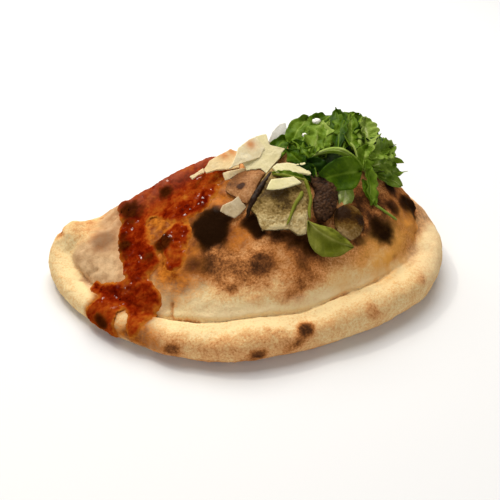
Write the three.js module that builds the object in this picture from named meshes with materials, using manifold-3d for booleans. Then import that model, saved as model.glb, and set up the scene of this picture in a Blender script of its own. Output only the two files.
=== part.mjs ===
// A baked calzone: a folded half-moon of pizza dough with a pinched rim, tomato sauce ladled over one end,
// mushroom slices, hard cheese shavings and a heap of rocket.
// Millimetres, +Z up, +X along the fold, -Y towards the curved rim. The calzone lies flat on z = 0.

import * as THREE from 'three';
import { mergeVertices } from 'three/addons/utils/BufferGeometryUtils.js';
import Module from 'manifold-3d';

const wasm = await Module();
wasm.setup();

// ---- driving dimensions ---------------------------------------------------------------------------------

const HALF_LENGTH = 150; // half the fold, tip to middle
const FRONT_REACH = 133; // tips' line to the front of the rim
const BACK_REACH = 30; // tips' line to the back of the fold
const RIM_WIDTH = 26;
const RIM_HEIGHT = 23.5;
const DOME_HEIGHTS = [40, 46, 72, 89, 92, 87, 76]; // along the crest, left tip to right tip
const GAP = 0.4; // air between pieces that touch
const MITRE = 0.4; // limits how far a sharp corner moves when a piece is swollen

// The dough.
const AROUND = 92; // grid steps round the outline
const RIM_STEPS = 10;
const DOME_STEPS = 12;
const DOME_SPACING = 1.5; // closer steps near the crease, where the dome is steep
const BASE_STEPS = 2;
const FRONT_POWER_LEFT = 1.8; // how full the outline is at each end: 2 is an ellipse
const FRONT_POWER_RIGHT = 2.9;
const BACK_POWER = 3.5;
const CREST_SHARE = 0.6; // crest length over the dough's length
const CREST_SHIFT = { x: -6, y: -5, skew: -12 };
const CREASE_ANGLE = 0.93; // radians short of the rim's inner side, where rim and dome meet
const RIM_TAPER = { width: 0.16, height: 0.26 }; // the rim is thicker towards the right tip
const RIM_FADE = { from: 0, to: 29 }; // the rim runs out into the fold between these places
const CREASE_FADE = { from: -95, to: -30, angle: 1.5 }; // the crease runs out towards the right tip
const FOLD_RADIUS = 21;
const FOLD_TAPER = 0.35; // the fold is flatter towards the left tip
const FOLD_ANGLE = 0.3;
const RIM_SQUARENESS = 0.85;
const ANGLE_STEP = 0.04; // between the two points that give the outline's direction
const LEAST_SLANT = 0.6; // limits how far a section's slant widens the rim
const TIP_CURL = { height: 12, angle: 2.92, spread: 0.34 }; // the rim curls up round the left tip
const RIM_LUMPS = [
  { count: 4, height: 0.03, width: 0.05, phase: 2.7 },
  { count: 9, height: 0.04, width: 0.04, phase: 5.6 },
  { count: 16, height: 0.03, width: 0.02, phase: 4 },
];
const PINCHES = [
  { angle: 3.56, spread: 0.05, depth: 5 },
  { angle: 4.13, spread: 0.035, depth: 3.5 },
  { angle: 5.62, spread: 0.07, depth: 2 },
]; // places where the crease is pressed in
const DOME_FULLNESS = 1.8;
const DOME_ARCH = 0.5; // share of the front's rise that follows an arch instead of a full bulge
const SAG_PASSES = 40; // how often the dome's heights are evened out

// The sauce: patches in plan that run into one another.
const SAUCE_PATCHES = [
  // over the crest
  [[-92, 12], [-88, -6], [-76, -15], [-65, -12], [-56, -23], [-46, -41], [-38, -39], [-31, -31],
    [-27, -20], [-26, -8], [-14, -2], [-12, 10], [-24, 22], [-46, 19], [-62, 24], [-80, 21]],
  // down the front
  [[-92, 2], [-97, -24], [-101, -38], [-99, -50], [-103, -58], [-98, -68], [-88, -66], [-86, -58],
    [-81, -48], [-79, -36], [-76, -14]],
  // over the rim
  [[-96, -62], [-104, -52], [-119, -45], [-119, -58], [-127, -60], [-131, -64], [-123, -76], [-116, -79],
    [-111, -76], [-107, -69]],
  // along the crease
  [[-102, -58], [-113, -49], [-126, -33], [-122, -33], [-111, -45], [-100, -52]],
  // the lobe on the rim
  [[-100, -68], [-99, -80], [-105, -85], [-101, -90], [-95, -88], [-87, -86], [-82, -80], [-79, -74],
    [-83, -65], [-92, -62]],
  // the splash beside the run, and the thread to it
  [[-74, -33], [-62, -32], [-55, -47], [-60, -56], [-68, -60], [-72, -64], [-71, -52], [-77, -42]],
  [[-84, -43], [-72, -40], [-70, -45], [-84, -48]],
];
const SAUCE_THICKNESS = 1.9;
const SAUCE_FOOT = 5; // the spill ends this high above the surface the calzone lies on
const SAUCE_TOP = 125; // above the highest sauce
const PULP = { count: 60, x: [-130, -12], y: [-92, 22], radius: [5, 9], height: [0.6, 2.2] };

// The mushroom slices, in plan.
const MUSHROOMS = {
  mushroom_slice_large: {
    outline: [[14, -30], [1, -41], [-10, -54], [-7, -62], [-8, -70], [1, -73], [9, -75], [15, -80],
      [21, -80], [24, -73], [32, -56], [33, -38], [24, -28]],
    thickness: 5.5,
    colour: 0xa5916e,
  },
  mushroom_slice_left: {
    outline: [[-20, -32], [-16, -40], [-11, -50], [-4, -45], [3, -37], [10, -30], [2, -24], [-10, -23]],
    thickness: 4,
    colour: 0x9a7a62,
  },
  mushroom_piece_dark: {
    outline: [[38, -40], [37, -55], [31, -66], [32, -74], [39, -75], [47, -68], [53, -57], [50, -44]],
    thickness: 5,
    colour: 0x3c2a1e,
  },
  mushroom_slice_right: {
    outline: [[42, -75], [48, -69], [57, -67], [64, -72], [64, -79], [57, -86], [50, -88], [44, -85]],
    thickness: 4,
    colour: 0x7c6238,
  },
};
const SLICE_EDGE = 0.6; // share of the thickness at the edge
const SLICE_LIFT = 1.1; // a slice touches the crust only here and there

// The cheese shavings. Each has an outline in its own plane, X along it and Y up its slope.
const SHAVING_THICKNESS = 1.5;
const SHAVINGS = [
  { at: [-19, -49, 70], turn: 10, tilt: 45, bend: 0.5,
    outline: [[-12, -1], [-4, -9], [7, -4], [4, 5], [-9, 2]] },
  { at: [18, -48, 84], turn: 5, tilt: 30, bend: 1,
    outline: [[-17, -5], [-7, -8], [9, -7], [5, -1], [-11, 1]] },
  { at: [30, -34, 86], turn: 0, tilt: 25, bend: 2,
    outline: [[-17, -1], [-16, -6], [6, -13], [8, -13], [7, -2], [0, -3], [-7, 0], [-13, 1]] },
  { at: [-9, -20, 78], turn: 5, tilt: 40, bend: 0, outline: [[-10, 1], [-10, -5], [7, -5], [8, 1]] },
  { at: [-33, -5, 73], turn: 15, tilt: 30, bend: 0, outline: [[-8, -1], [-7, -4], [4, -2], [5, 2]] },
  { at: [18, -12, 86], turn: 0, tilt: 25, bend: 3,
    outline: [[-21, -17], [-15, -18], [-8, -21], [6, -10], [13, -2], [2, 3], [3, 13], [-6, 12], [-22, -4]] },
  { at: [35, 5, 93], turn: 0, tilt: 45, bend: 0,
    outline: [[-13, -9], [-3, -11], [3, -8], [5, 4], [0, 4], [-7, -1]] },
  { at: [-15, -6, 80], turn: 4, tilt: 25, bend: 2,
    outline: [[-16, -4], [-15, -8], [-2, -9], [10, -10], [14, 5], [9, 8], [2, 5], [-10, 1]] },
  { at: [5, -10, 90], turn: 8, tilt: 38, bend: 3,
    outline: [[-22, -12], [-7, -11], [7, -11], [10, -9], [8, 1], [6, 6], [0, 5], [-10, 1], [-19, -10]] },
];

// The rocket. A leaf's path is in plan, from its stalk to its end.
const LEAF_THICKNESS = 1.1;
const LEAF_STATIONS = { heap: 4, loose: 8 };
const LEAF_FOLD = 0.25; // rise of a leaf's sides over its half width
const LEAF_REST = 0.8; // height of a leaf's underside over what it lies on
const LEAF_REACH = 2.5; // how far round a point of a leaf it may rest on something
const HEAP = { x: 81, y: -13, halfLength: 46, halfDepth: 28, height: 15, lumps: 2, sides: 24 };
const HEAP_WAVES = [
  { count: 3, depth: 0.08, phase: 1 },
  { count: 5, depth: 0.06, phase: 2 },
];
const HEAP_LEAVES = {
  count: 19,
  turn: 6,
  spread: 0.83,
  length: [26, 38],
  width: [16, 24],
  rise: [0.8, -0.5], // slope of the leaves in the middle and at the edge
};
const LEAF_ROOT = 5; // how deep a leaf's stalk is in the heap
const LEAF_DROOP = 0.5; // fall of a leaf's end over its length
const FRONT_LEAVES = [
  { path: [[62, -22], [61, -34], [60, -44], [59, -53]], width: 30, profile: broadWidth },
  { path: [[58, -44], [58, -54], [57, -62], [56, -69]], width: 14 },
  { path: [[40, -12], [34, -24], [31, -34], [32, -42]], width: 14 },
]; // leaves that hang down over the front of the heap
const GOLDEN_ANGLE = Math.PI * (3 - Math.sqrt(5));
const LOOSE_LEAVES = {
  rocket_leaf_front: { path: [[23, -77], [32, -83], [42, -87], [52, -91]], width: 27, profile: broadWidth },
  rocket_stalk_front: { path: [[35, -44], [32, -56], [30, -64], [27, -72]], width: 3, profile: stalkWidth },
  rocket_stalk_slice: { path: [[30, -50], [23, -60], [15, -67], [10, -73]], width: 4, profile: stalkWidth },
  rocket_leaf_right: { path: [[94, -74], [82, -67], [78, -55], [76, -42]], width: 12 },
};

// ---- small maths ----------------------------------------------------------------------------------------

const mix = (a, b, t) => a + (b - a) * t;
const clamp = (t) => Math.min(1, Math.max(0, t));
const smooth = (t) => clamp(t) ** 2 * (3 - 2 * clamp(t));

let seed = 7;
/** A repeatable random number between two values. */
function random(low, high) {
  seed = (seed * 16807) % 2147483647;
  return low + ((high - low) * seed) / 2147483647;
}

// ---- the dough ------------------------------------------------------------------------------------------

/** A bell-shaped bump of height 1 at one place of the outline. */
const hump = (angle, place) => Math.exp(-(((angle - place.angle) / place.spread) ** 2));

/** Outline of the dough from above. Angle 0 is the right tip, and from half a turn on it is the front. */
function outline(angle) {
  const c = Math.cos(angle);
  const s = Math.sin(angle);
  const front = s < 0;
  const power = front ? mix(FRONT_POWER_LEFT, FRONT_POWER_RIGHT, smooth((c + 1) / 2)) : BACK_POWER;
  const reach = front ? FRONT_REACH : BACK_REACH;
  const y = Math.sign(s) * reach * Math.max(0, 1 - Math.abs(c) ** power) ** (1 / power);
  return new THREE.Vector2(HALF_LENGTH * c, y);
}

/** The crest that the dough's sections meet in, and its height. */
const crestCurve = new THREE.SplineCurve(
  DOME_HEIGHTS.map((height, i) => new THREE.Vector2(i / (DOME_HEIGHTS.length - 1), height)),
);

function crest(angle) {
  const c = Math.cos(angle);
  const height = crestCurve.getPoint((c + 1) / 2).y;
  const x = HALF_LENGTH * CREST_SHARE * c + CREST_SHIFT.x;
  const y = CREST_SHIFT.y + CREST_SHIFT.skew * c;
  return new THREE.Vector3(x, y, height);
}

/** One section of the dough, from the base's middle out round the rim or the fold and up to the crest. */
function section(angle) {
  const edge = outline(angle);
  const top = crest(angle);
  const before = outline(angle - ANGLE_STEP);
  const along = outline(angle + ANGLE_STEP).sub(before).normalize();
  const inwards = new THREE.Vector2(top.x - edge.x, top.y - edge.y).normalize();
  const slant = Math.max(LEAST_SLANT, inwards.x * -along.y + inwards.y * along.x);
  const c = Math.cos(angle);
  const rimShare = 1 - smooth((edge.y - RIM_FADE.from) / (RIM_FADE.to - RIM_FADE.from));
  const creaseLoss = c > 0 ? smooth((edge.y - CREASE_FADE.from) / (CREASE_FADE.to - CREASE_FADE.from)) : 0;
  const creaseAngle = mix(CREASE_ANGLE, CREASE_FADE.angle, creaseLoss);
  const lump = { width: 0, height: 0 };
  for (const wave of RIM_LUMPS) {
    lump.width += wave.width * Math.sin(wave.count * angle + wave.phase);
    lump.height += wave.height * Math.sin(wave.count * angle + wave.phase);
  }
  const width = (RIM_WIDTH * (1 + RIM_TAPER.width * c + lump.width)) / slant;
  const curl = TIP_CURL.height * hump(angle, TIP_CURL);
  const height = RIM_HEIGHT * (1 + RIM_TAPER.height * c + lump.height) + curl;
  const pinch = PINCHES.reduce((sum, place) => sum + place.depth * hump(angle, place), 0);
  const bulge = (t) => Math.sign(t) * Math.abs(t) ** RIM_SQUARENESS;
  const fold = FOLD_RADIUS * (1 + FOLD_TAPER * c) + curl / 2;
  const points = [];
  for (let i = 0; i < RIM_STEPS; i++) {
    const t = i / (RIM_STEPS - 1);
    const a = mix(-Math.PI / 2, Math.PI - creaseAngle, t);
    const b = mix(-Math.PI / 2, FOLD_ANGLE, t);
    const inset = mix((1 - Math.cos(b)) * fold, (0.5 - 0.5 * bulge(Math.cos(a))) * width, rimShare);
    const z = mix((1 + Math.sin(b)) * fold, (0.5 + 0.5 * bulge(Math.sin(a))) * height, rimShare);
    points.push(new THREE.Vector3(edge.x + inwards.x * inset, edge.y + inwards.y * inset, z));
  }
  const foot = points[0].clone();
  const crease = points[points.length - 1];
  crease.z -= pinch;
  const arch = DOME_ARCH * Math.max(smooth(-Math.sin(angle)), creaseLoss * rimShare);
  for (let i = 1; i <= DOME_STEPS; i++) {
    const t = (i / DOME_STEPS) ** DOME_SPACING;
    const bulged = (1 - (1 - t) ** DOME_FULLNESS) ** (1 / DOME_FULLNESS);
    const rise = mix(bulged, Math.sin((t * Math.PI) / 2), arch);
    points.push(
      new THREE.Vector3(mix(crease.x, top.x, t), mix(crease.y, top.y, t), mix(crease.z, top.z, rise)),
    );
  }
  const base = [];
  for (let i = BASE_STEPS; i > 0; i--) {
    const t = i / BASE_STEPS;
    base.push(new THREE.Vector3(mix(foot.x, top.x, t), mix(foot.y, top.y, t), 0));
  }
  return [...base, ...points];
}

/** Evens out the dome's heights between neighbours, across the crest too. */
function sag(sections) {
  const top = sections[0].length - 1;
  const heights = sections.map((points) => points.map((p) => p.z));
  sections.forEach((points, i) => {
    const left = heights[(i + AROUND - 1) % AROUND];
    const right = heights[(i + 1) % AROUND];
    const opposite = heights[(AROUND - i) % AROUND];
    for (let j = BASE_STEPS + RIM_STEPS + 2; j <= top; j++) {
      const above = j < top ? heights[i][j + 1] : opposite[top - 1];
      points[j].z = (2 * heights[i][j] + left[j] + right[j] + heights[i][j - 1] + above) / 6;
    }
  });
}

/** The closed skin of the dough: a grid of sections whose ends meet along the crest and under it. */
function doughGeometry() {
  const sections = [];
  for (let i = 0; i < AROUND; i++) {
    sections.push(section((i / AROUND) * 2 * Math.PI));
  }
  for (let pass = 0; pass < SAG_PASSES; pass++) {
    sag(sections);
  }
  const rows = sections[0].length;
  const positions = sections.flat().flatMap((p) => [p.x, p.y, p.z]);
  const index = [];
  for (let i = 0; i < AROUND; i++) {
    const next = (i + 1) % AROUND;
    for (let j = 0; j < rows - 1; j++) {
      const a = i * rows + j;
      const b = next * rows + j;
      index.push(a, b, b + 1, a, b + 1, a + 1);
    }
  }
  const geometry = new THREE.BufferGeometry();
  geometry.setAttribute('position', new THREE.Float32BufferAttribute(positions, 3));
  geometry.setIndex(index);
  return closed(geometry);
}

/** Merges a geometry's shared corners, so that it is one watertight skin. */
function closed(geometry) {
  geometry.deleteAttribute('normal');
  geometry.deleteAttribute('uv');
  const merged = mergeVertices(geometry, 1e-3);
  const index = Array.from(merged.index.array);
  const kept = [];
  for (let i = 0; i < index.length; i += 3) {
    const [a, b, c] = index.slice(i, i + 3);
    if (a !== b && b !== c && c !== a) {
      kept.push(a, b, c);
    }
  }
  merged.setIndex(kept);
  merged.computeVertexNormals();
  return merged;
}

// ---- solids, the assembly and what lies under a point ---------------------------------------------------

const calzone = new THREE.Group();
const ray = new THREE.Raycaster();
const DOWN = new THREE.Vector3(0, 0, -1);
const UP = new THREE.Vector3(0, 0, 1);

function solidOf(geometry) {
  const vertProperties = new Float32Array(geometry.attributes.position.array);
  const triVerts = new Uint32Array(geometry.index.array);
  return new wasm.Manifold(new wasm.Mesh({ numProp: 3, vertProperties, triVerts }));
}

/** The largest body of a solid, as a geometry: crumbs that a cut leaves behind are dropped. */
function geometryOf(solid) {
  const bodies = solid.decompose().sort((a, b) => b.volume() - a.volume());
  const mesh = bodies[0].getMesh();
  const geometry = new THREE.BufferGeometry();
  geometry.setAttribute('position', new THREE.Float32BufferAttribute(mesh.vertProperties, 3));
  geometry.setIndex(Array.from(mesh.triVerts));
  geometry.computeVertexNormals();
  return geometry;
}

/** How far each corner must move along its normal so that its sharpest face moves by 1. */
function cornerReach(geometry) {
  const { position, normal } = geometry.attributes;
  const index = geometry.index.array;
  const reach = new Array(position.count).fill(1);
  const face = new THREE.Triangle();
  const faceNormal = new THREE.Vector3();
  const outwards = new THREE.Vector3();
  for (let i = 0; i < index.length; i += 3) {
    const corners = index.slice(i, i + 3);
    face.setFromAttributeAndIndices(position, ...corners);
    face.getNormal(faceNormal);
    for (const corner of corners) {
      outwards.fromBufferAttribute(normal, corner);
      reach[corner] = Math.max(reach[corner], 1 / Math.max(MITRE, outwards.dot(faceNormal)));
    }
  }
  return reach;
}

/** A copy of a geometry whose skin has moved outwards by an amount that may depend on the point. */
function swell(geometry, amount) {
  const copy = geometry.clone();
  const { position, normal } = copy.attributes;
  const reach = cornerReach(geometry);
  const point = new THREE.Vector3();
  const outwards = new THREE.Vector3();
  for (let i = 0; i < position.count; i++) {
    point.fromBufferAttribute(position, i);
    outwards.fromBufferAttribute(normal, i);
    point.addScaledVector(outwards, amount(point) * reach[i]);
    position.setXYZ(i, point.x, point.y, point.z);
  }
  return copy;
}

/** Adds a named piece, cut clear of every piece that is there already. */
function add(name, geometry, colour, roughness) {
  let solid = solidOf(geometry);
  for (const other of calzone.children) {
    solid = solid.subtract(solidOf(swell(other.geometry, () => GAP)));
  }
  const fitted = calzone.children.length > 0 ? geometryOf(solid) : geometry;
  const material = new THREE.MeshStandardMaterial({ color: colour, roughness, metalness: 0 });
  const mesh = new THREE.Mesh(fitted, material);
  mesh.name = name;
  calzone.add(mesh);
  return mesh;
}

/** The point and the outward normal on top of what is there so far, or of the named pieces, at (x, y). */
function ground(x, y, pieces = calzone.children) {
  ray.set(new THREE.Vector3(x, y, 200), DOWN);
  const hit = ray.intersectObjects(pieces, false)[0];
  return hit ?? { point: new THREE.Vector3(x, y, 0), normal: UP.clone() };
}

/** The greatest height of the pieces within a few millimetres of (x, y). */
function heightAround(x, y, reach, pieces) {
  const steps = [[0, 0], [reach, 0], [-reach, 0], [0, reach], [0, -reach]];
  return Math.max(...steps.map(([dx, dy]) => ground(x + dx, y + dy, pieces).point.z));
}

/** A closed smooth outline through a few plan points. */
function smoothOutline(points, count) {
  const knots = points.map(([x, y]) => new THREE.Vector3(x, y, 0));
  const curve = new THREE.CatmullRomCurve3(knots, true, 'centripetal');
  return curve.getSpacedPoints(count).slice(0, count).map((p) => new THREE.Vector2(p.x, p.y));
}

/** A closed plate: rings fill a star-shaped outline on both faces, and a rule puts each corner in space. */
function plate(points, insets, place) {
  const outline = THREE.ShapeUtils.isClockWise(points) ? [...points].reverse() : points;
  const centre = outline.reduce((sum, p) => sum.add(p), new THREE.Vector2()).divideScalar(outline.length);
  const count = outline.length;
  const perFace = insets.length * count + 1;
  const positions = [];
  for (const face of [1, 0]) {
    for (const inset of insets) {
      for (const p of outline) {
        const corner = place(mix(p.x, centre.x, inset), mix(p.y, centre.y, inset), inset, face);
        positions.push(corner.x, corner.y, corner.z);
      }
    }
    const hub = place(centre.x, centre.y, 1, face);
    positions.push(hub.x, hub.y, hub.z);
  }
  const index = [];
  for (let i = 0; i < count; i++) {
    const next = (i + 1) % count;
    for (let ring = 0; ring < insets.length; ring++) {
      const [a, b] = [ring * count + i, ring * count + next];
      const last = ring === insets.length - 1;
      const [c, d] = last ? [perFace - 1, perFace - 1] : [b + count, a + count];
      index.push(a, b, c, perFace + a, perFace + c, perFace + b);
      if (!last) {
        index.push(a, c, d, perFace + a, perFace + d, perFace + c);
      }
    }
    index.push(perFace + i, perFace + next, next, perFace + i, next, i);
  }
  const geometry = new THREE.BufferGeometry();
  geometry.setAttribute('position', new THREE.Float32BufferAttribute(positions, 3));
  geometry.setIndex(index);
  return closed(geometry);
}

// ---- crust ----------------------------------------------------------------------------------------------

const crust = add('crust', doughGeometry(), 0xd8a060, 0.85);

// ---- tomato sauce ---------------------------------------------------------------------------------------
// Ladled over the crest near the left end, it runs down the front, fills the crease and spills over the rim.

function sauceGeometry() {
  const outlines = SAUCE_PATCHES.map((points) => smoothOutline(points, Math.round(points.length * 1.6)));
  const pulp = [];
  while (pulp.length < PULP.count) {
    pulp.push({
      x: random(...PULP.x),
      y: random(...PULP.y),
      radius: random(...PULP.radius),
      height: random(...PULP.height),
    });
  }
  const thickness = (point) => {
    const lumps = pulp.map((lump) => {
      const distance = Math.hypot(point.x - lump.x, point.y - lump.y) / lump.radius;
      return lump.height * Math.exp(-(distance ** 2));
    });
    return SAUCE_THICKNESS + Math.max(...lumps);
  };
  const flood = solidOf(swell(crust.geometry, thickness));
  const walls = outlines.map((outline) => {
    const depth = SAUCE_TOP - SAUCE_FOOT;
    const prism = new THREE.ExtrudeGeometry(new THREE.Shape(outline), { depth, bevelEnabled: false });
    prism.translate(0, 0, SAUCE_FOOT);
    return solidOf(closed(prism));
  });
  return geometryOf(flood.intersect(walls.reduce((all, wall) => all.add(wall))));
}

add('tomato_sauce', sauceGeometry(), 0xa02810, 0.35);

// ---- mushroom slices ------------------------------------------------------------------------------------
// Roasted slices that lie on the front of the dome and have taken its curve.

function slice({ outline, thickness }) {
  const edge = smoothOutline(outline, outline.length * 2);
  return plate(edge, [0, 0.12, 0.5], (x, y, inset, face) => {
    const { point, normal } = ground(x, y);
    const height = SLICE_LIFT + face * thickness * mix(SLICE_EDGE, 1, smooth(inset / 0.3));
    return point.addScaledVector(normal, height);
  });
}

for (const [name, piece] of Object.entries(MUSHROOMS)) {
  add(name, slice(piece), piece.colour, 0.8);
}

// ---- cheese shavings ------------------------------------------------------------------------------------
// Broken flakes of hard cheese that lie and lean on the crest and on the mushrooms.

/** A polygon with a point added on each side, off the straight line, as cheese breaks. */
function broken(points) {
  return points.flatMap(([x, y], i) => {
    const [nextX, nextY] = points[(i + 1) % points.length];
    const off = random(-0.06, 0.06);
    const t = random(0.35, 0.65);
    const onSide = new THREE.Vector2(mix(x, nextX, t), mix(y, nextY, t));
    onSide.x -= (nextY - y) * off;
    onSide.y += (nextX - x) * off;
    return [new THREE.Vector2(x, y), onSide];
  });
}

function shaving({ at, turn, tilt, bend, outline }) {
  const reach = Math.max(...outline.map(([x]) => Math.abs(x)));
  const flake = plate(broken(outline), [0, 0.5], (x, y, inset, face) => {
    const height = bend * (1 - (x / reach) ** 2) + (face - 0.5) * SHAVING_THICKNESS;
    return new THREE.Vector3(x, y, height);
  });
  flake.rotateX(THREE.MathUtils.degToRad(tilt));
  flake.rotateZ(THREE.MathUtils.degToRad(turn));
  return flake.translate(...at);
}

SHAVINGS.forEach((piece, i) => add(`cheese_shaving_${i + 1}`, shaving(piece), 0xe6d2a0, 0.6));

// ---- rocket ---------------------------------------------------------------------------------------------
// A loose heap of leaves on the right half of the crest, and the leaves that have slid down in front of it.

/** Half width of a rocket leaf along its length: a thin stalk, small lobes and a broad end. */
function rocketWidth(s) {
  const blade = Math.sin(Math.PI * clamp((s - 0.12) / 0.88) ** 1.6) ** 0.7;
  return Math.max(0.12, blade * (1 - 0.28 * Math.cos(s * 17)));
}

/** Half width of a broad leaf with a round end. */
function broadWidth(s) {
  return Math.sin(Math.PI * (0.12 + 0.88 * s)) ** 0.6;
}

/** A stalk is as wide all along. */
function stalkWidth() {
  return 1;
}

/** A thin wavy leaf along a curve. Its underside stays clear of what it lies on. */
function leaf(shape, pieces = calzone.children) {
  const { path, width, stations, profile = rocketWidth, wave = 1, roll = 0 } = shape;
  const curve = new THREE.CatmullRomCurve3(path, false, 'centripetal');
  const positions = [];
  for (let i = 0; i <= stations; i++) {
    const s = i / stations;
    const middle = curve.getPoint(s);
    const along = curve.getTangent(s);
    const side = new THREE.Vector3().crossVectors(UP, along).normalize().applyAxisAngle(along, roll);
    const upwards = new THREE.Vector3().crossVectors(along, side).normalize();
    const half = (width / 2) * profile(s);
    for (const across of [-1, 0, 1]) {
      const ripple = across * wave * Math.sin(s * 9 + across) + Math.abs(across) * half * LEAF_FOLD;
      const point = middle.clone().addScaledVector(side, across * half).addScaledVector(upwards, ripple);
      point.z = Math.max(point.z, heightAround(point.x, point.y, LEAF_REACH, pieces) + LEAF_REST);
      positions.push(point);
    }
  }
  const count = positions.length;
  const lifted = positions.map((p) => p.clone().setZ(p.z + LEAF_THICKNESS));
  const index = [];
  const quad = (a, b, c, d) => index.push(a, b, c, a, c, d);
  for (let i = 0; i < stations; i++) {
    for (const k of [0, 1]) {
      const a = i * 3 + k;
      quad(count + a, count + a + 3, count + a + 4, count + a + 1);
      quad(a, a + 1, a + 4, a + 3);
    }
    const [left, right] = [i * 3, i * 3 + 2];
    quad(left, left + 3, count + left + 3, count + left);
    quad(right, count + right, count + right + 3, right + 3);
  }
  for (const k of [0, 1]) {
    quad(k, count + k, count + k + 1, k + 1);
    const end = stations * 3 + k;
    quad(end, end + 1, count + end + 1, count + end);
  }
  const geometry = new THREE.BufferGeometry();
  const flat = [...positions, ...lifted].flatMap((p) => p.toArray());
  geometry.setAttribute('position', new THREE.Float32BufferAttribute(flat, 3));
  geometry.setIndex(index);
  return closed(geometry);
}

function heapCore() {
  const outline = [];
  for (let i = 0; i < HEAP.sides; i++) {
    const a = (i / HEAP.sides) * 2 * Math.PI;
    const waves = HEAP_WAVES.map((wave) => wave.depth * Math.sin(wave.count * a + wave.phase));
    const uneven = 1 + waves[0] + waves[1];
    outline.push(new THREE.Vector2(
      HEAP.x + HEAP.halfLength * uneven * Math.cos(a),
      HEAP.y + HEAP.halfDepth * uneven * Math.sin(a),
    ));
  }
  return plate(outline, [0, 0.1, 0.3, 0.6], (x, y, inset, face) => {
    const { point } = ground(x, y, [crust]);
    const lumps = HEAP.lumps * Math.sin(x / 6) * Math.cos(y / 5) * smooth(inset * 2);
    const bulge = HEAP.height * Math.sqrt(1 - (1 - inset) ** 2) + lumps;
    point.z += LEAF_REST + face * (2 + bulge);
    return point;
  });
}

/** One leaf of the heap: it starts in the core and reaches outwards, flatter the further out it is. */
function heapLeaf(i, core) {
  const share = Math.sqrt((i + 0.5) / HEAP_LEAVES.count);
  const around = i * GOLDEN_ANGLE + HEAP_LEAVES.turn;
  const x = HEAP.x + HEAP.halfLength * HEAP_LEAVES.spread * share * Math.cos(around);
  const y = HEAP.y + HEAP.halfDepth * HEAP_LEAVES.spread * share * Math.sin(around);
  const start = ground(x, y, [core]).point;
  const outwards = Math.atan2(HEAP.halfLength * Math.sin(around), HEAP.halfDepth * Math.cos(around));
  const heading = outwards + random(-0.8, 0.8);
  const rise = mix(...HEAP_LEAVES.rise, share) + random(-0.2, 0.2);
  const length = random(...HEAP_LEAVES.length);
  const path = [];
  for (let k = 0; k <= 3; k++) {
    const reach = (k / 3) * length - LEAF_ROOT;
    const droop = (reach / length) ** 2 * length * LEAF_DROOP;
    path.push(new THREE.Vector3(
      start.x + Math.cos(heading) * Math.cos(rise) * reach,
      start.y + Math.sin(heading) * Math.cos(rise) * reach,
      start.z + Math.sin(rise) * reach - droop,
    ));
  }
  const width = random(...HEAP_LEAVES.width);
  return leaf({ path, width, stations: LEAF_STATIONS.heap, wave: 1.5, roll: random(-0.6, 0.6) });
}

/** A leaf that lies on the pieces below it, from a path in plan. */
function draped({ path, ...rest }, pieces = calzone.children) {
  return leaf({ path: path.map(([x, y]) => ground(x, y, pieces).point), ...rest }, pieces);
}

function heapGeometry() {
  const core = new THREE.Mesh(heapCore());
  let heap = solidOf(core.geometry);
  for (let i = 0; i < HEAP_LEAVES.count; i++) {
    heap = heap.add(solidOf(heapLeaf(i, core)));
  }
  for (const piece of FRONT_LEAVES) {
    const bent = { ...piece, stations: LEAF_STATIONS.heap };
    heap = heap.add(solidOf(draped(bent, [core, ...calzone.children])));
  }
  return geometryOf(heap);
}

add('rocket_heap', heapGeometry(), 0x4a7a1e, 0.6);
for (const [name, piece] of Object.entries(LOOSE_LEAVES)) {
  add(name, draped({ ...piece, stations: LEAF_STATIONS.loose }), 0x5c8a24, 0.6);
}

// The origin is in the middle of the base.
const box = new THREE.Box3().setFromObject(calzone);
const middle = box.getCenter(new THREE.Vector3());
calzone.position.set(-middle.x, -middle.y, -box.min.z);

export default calzone;
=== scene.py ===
import math
import random

import bmesh
import bpy
import numpy as np
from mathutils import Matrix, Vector, noise
from mathutils.kdtree import KDTree


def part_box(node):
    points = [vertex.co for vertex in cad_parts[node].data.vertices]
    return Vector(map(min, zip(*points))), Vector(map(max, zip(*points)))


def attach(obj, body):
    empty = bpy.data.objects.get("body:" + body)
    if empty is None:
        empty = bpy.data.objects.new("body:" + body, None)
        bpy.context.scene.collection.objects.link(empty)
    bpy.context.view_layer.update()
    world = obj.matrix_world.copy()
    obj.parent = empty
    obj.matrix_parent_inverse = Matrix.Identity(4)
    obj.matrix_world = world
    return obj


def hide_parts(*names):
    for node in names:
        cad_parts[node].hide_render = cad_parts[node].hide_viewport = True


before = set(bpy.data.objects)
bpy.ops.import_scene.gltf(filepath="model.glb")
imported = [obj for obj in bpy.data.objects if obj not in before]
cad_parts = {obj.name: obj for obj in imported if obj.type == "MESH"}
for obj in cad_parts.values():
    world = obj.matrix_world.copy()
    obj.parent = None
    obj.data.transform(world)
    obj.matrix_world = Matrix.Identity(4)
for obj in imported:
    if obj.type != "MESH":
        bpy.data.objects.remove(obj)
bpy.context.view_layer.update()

# ---- Folded dough ----
# A round of pizza dough folded over its filling, pinched shut into a thick rolled rim and baked on a stone
# floor. The rim stays pale and floury, the dome browns, and blisters that stood nearest the fire are black.

MM = 0.001
BACK = 30 * MM  # how far the dough's back stands behind the line between its two tips
TIPS = Vector((0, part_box("crust")[1].y - BACK, 0))  # the middle of that line
DOUGH_VOXEL = 1.18 * MM


def place(x, y, z=0.0):
    """A point given in millimetres from the middle of the tips' line."""
    return TIPS + Vector((x, y, z)) * MM


def merged_copy(node):
    """A bmesh of a CAD node whose loose triangles share their corners."""
    shape = bmesh.new()
    shape.from_mesh(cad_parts[node].data)
    bmesh.ops.remove_doubles(shape, verts=shape.verts, dist=0.02 * MM)
    return shape


def new_piece(name, shape):
    """An object made of a bmesh."""
    mesh = bpy.data.meshes.new(name)
    shape.to_mesh(mesh)
    shape.free()
    piece = bpy.data.objects.new(name, mesh)
    bpy.context.scene.collection.objects.link(piece)
    return piece


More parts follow.
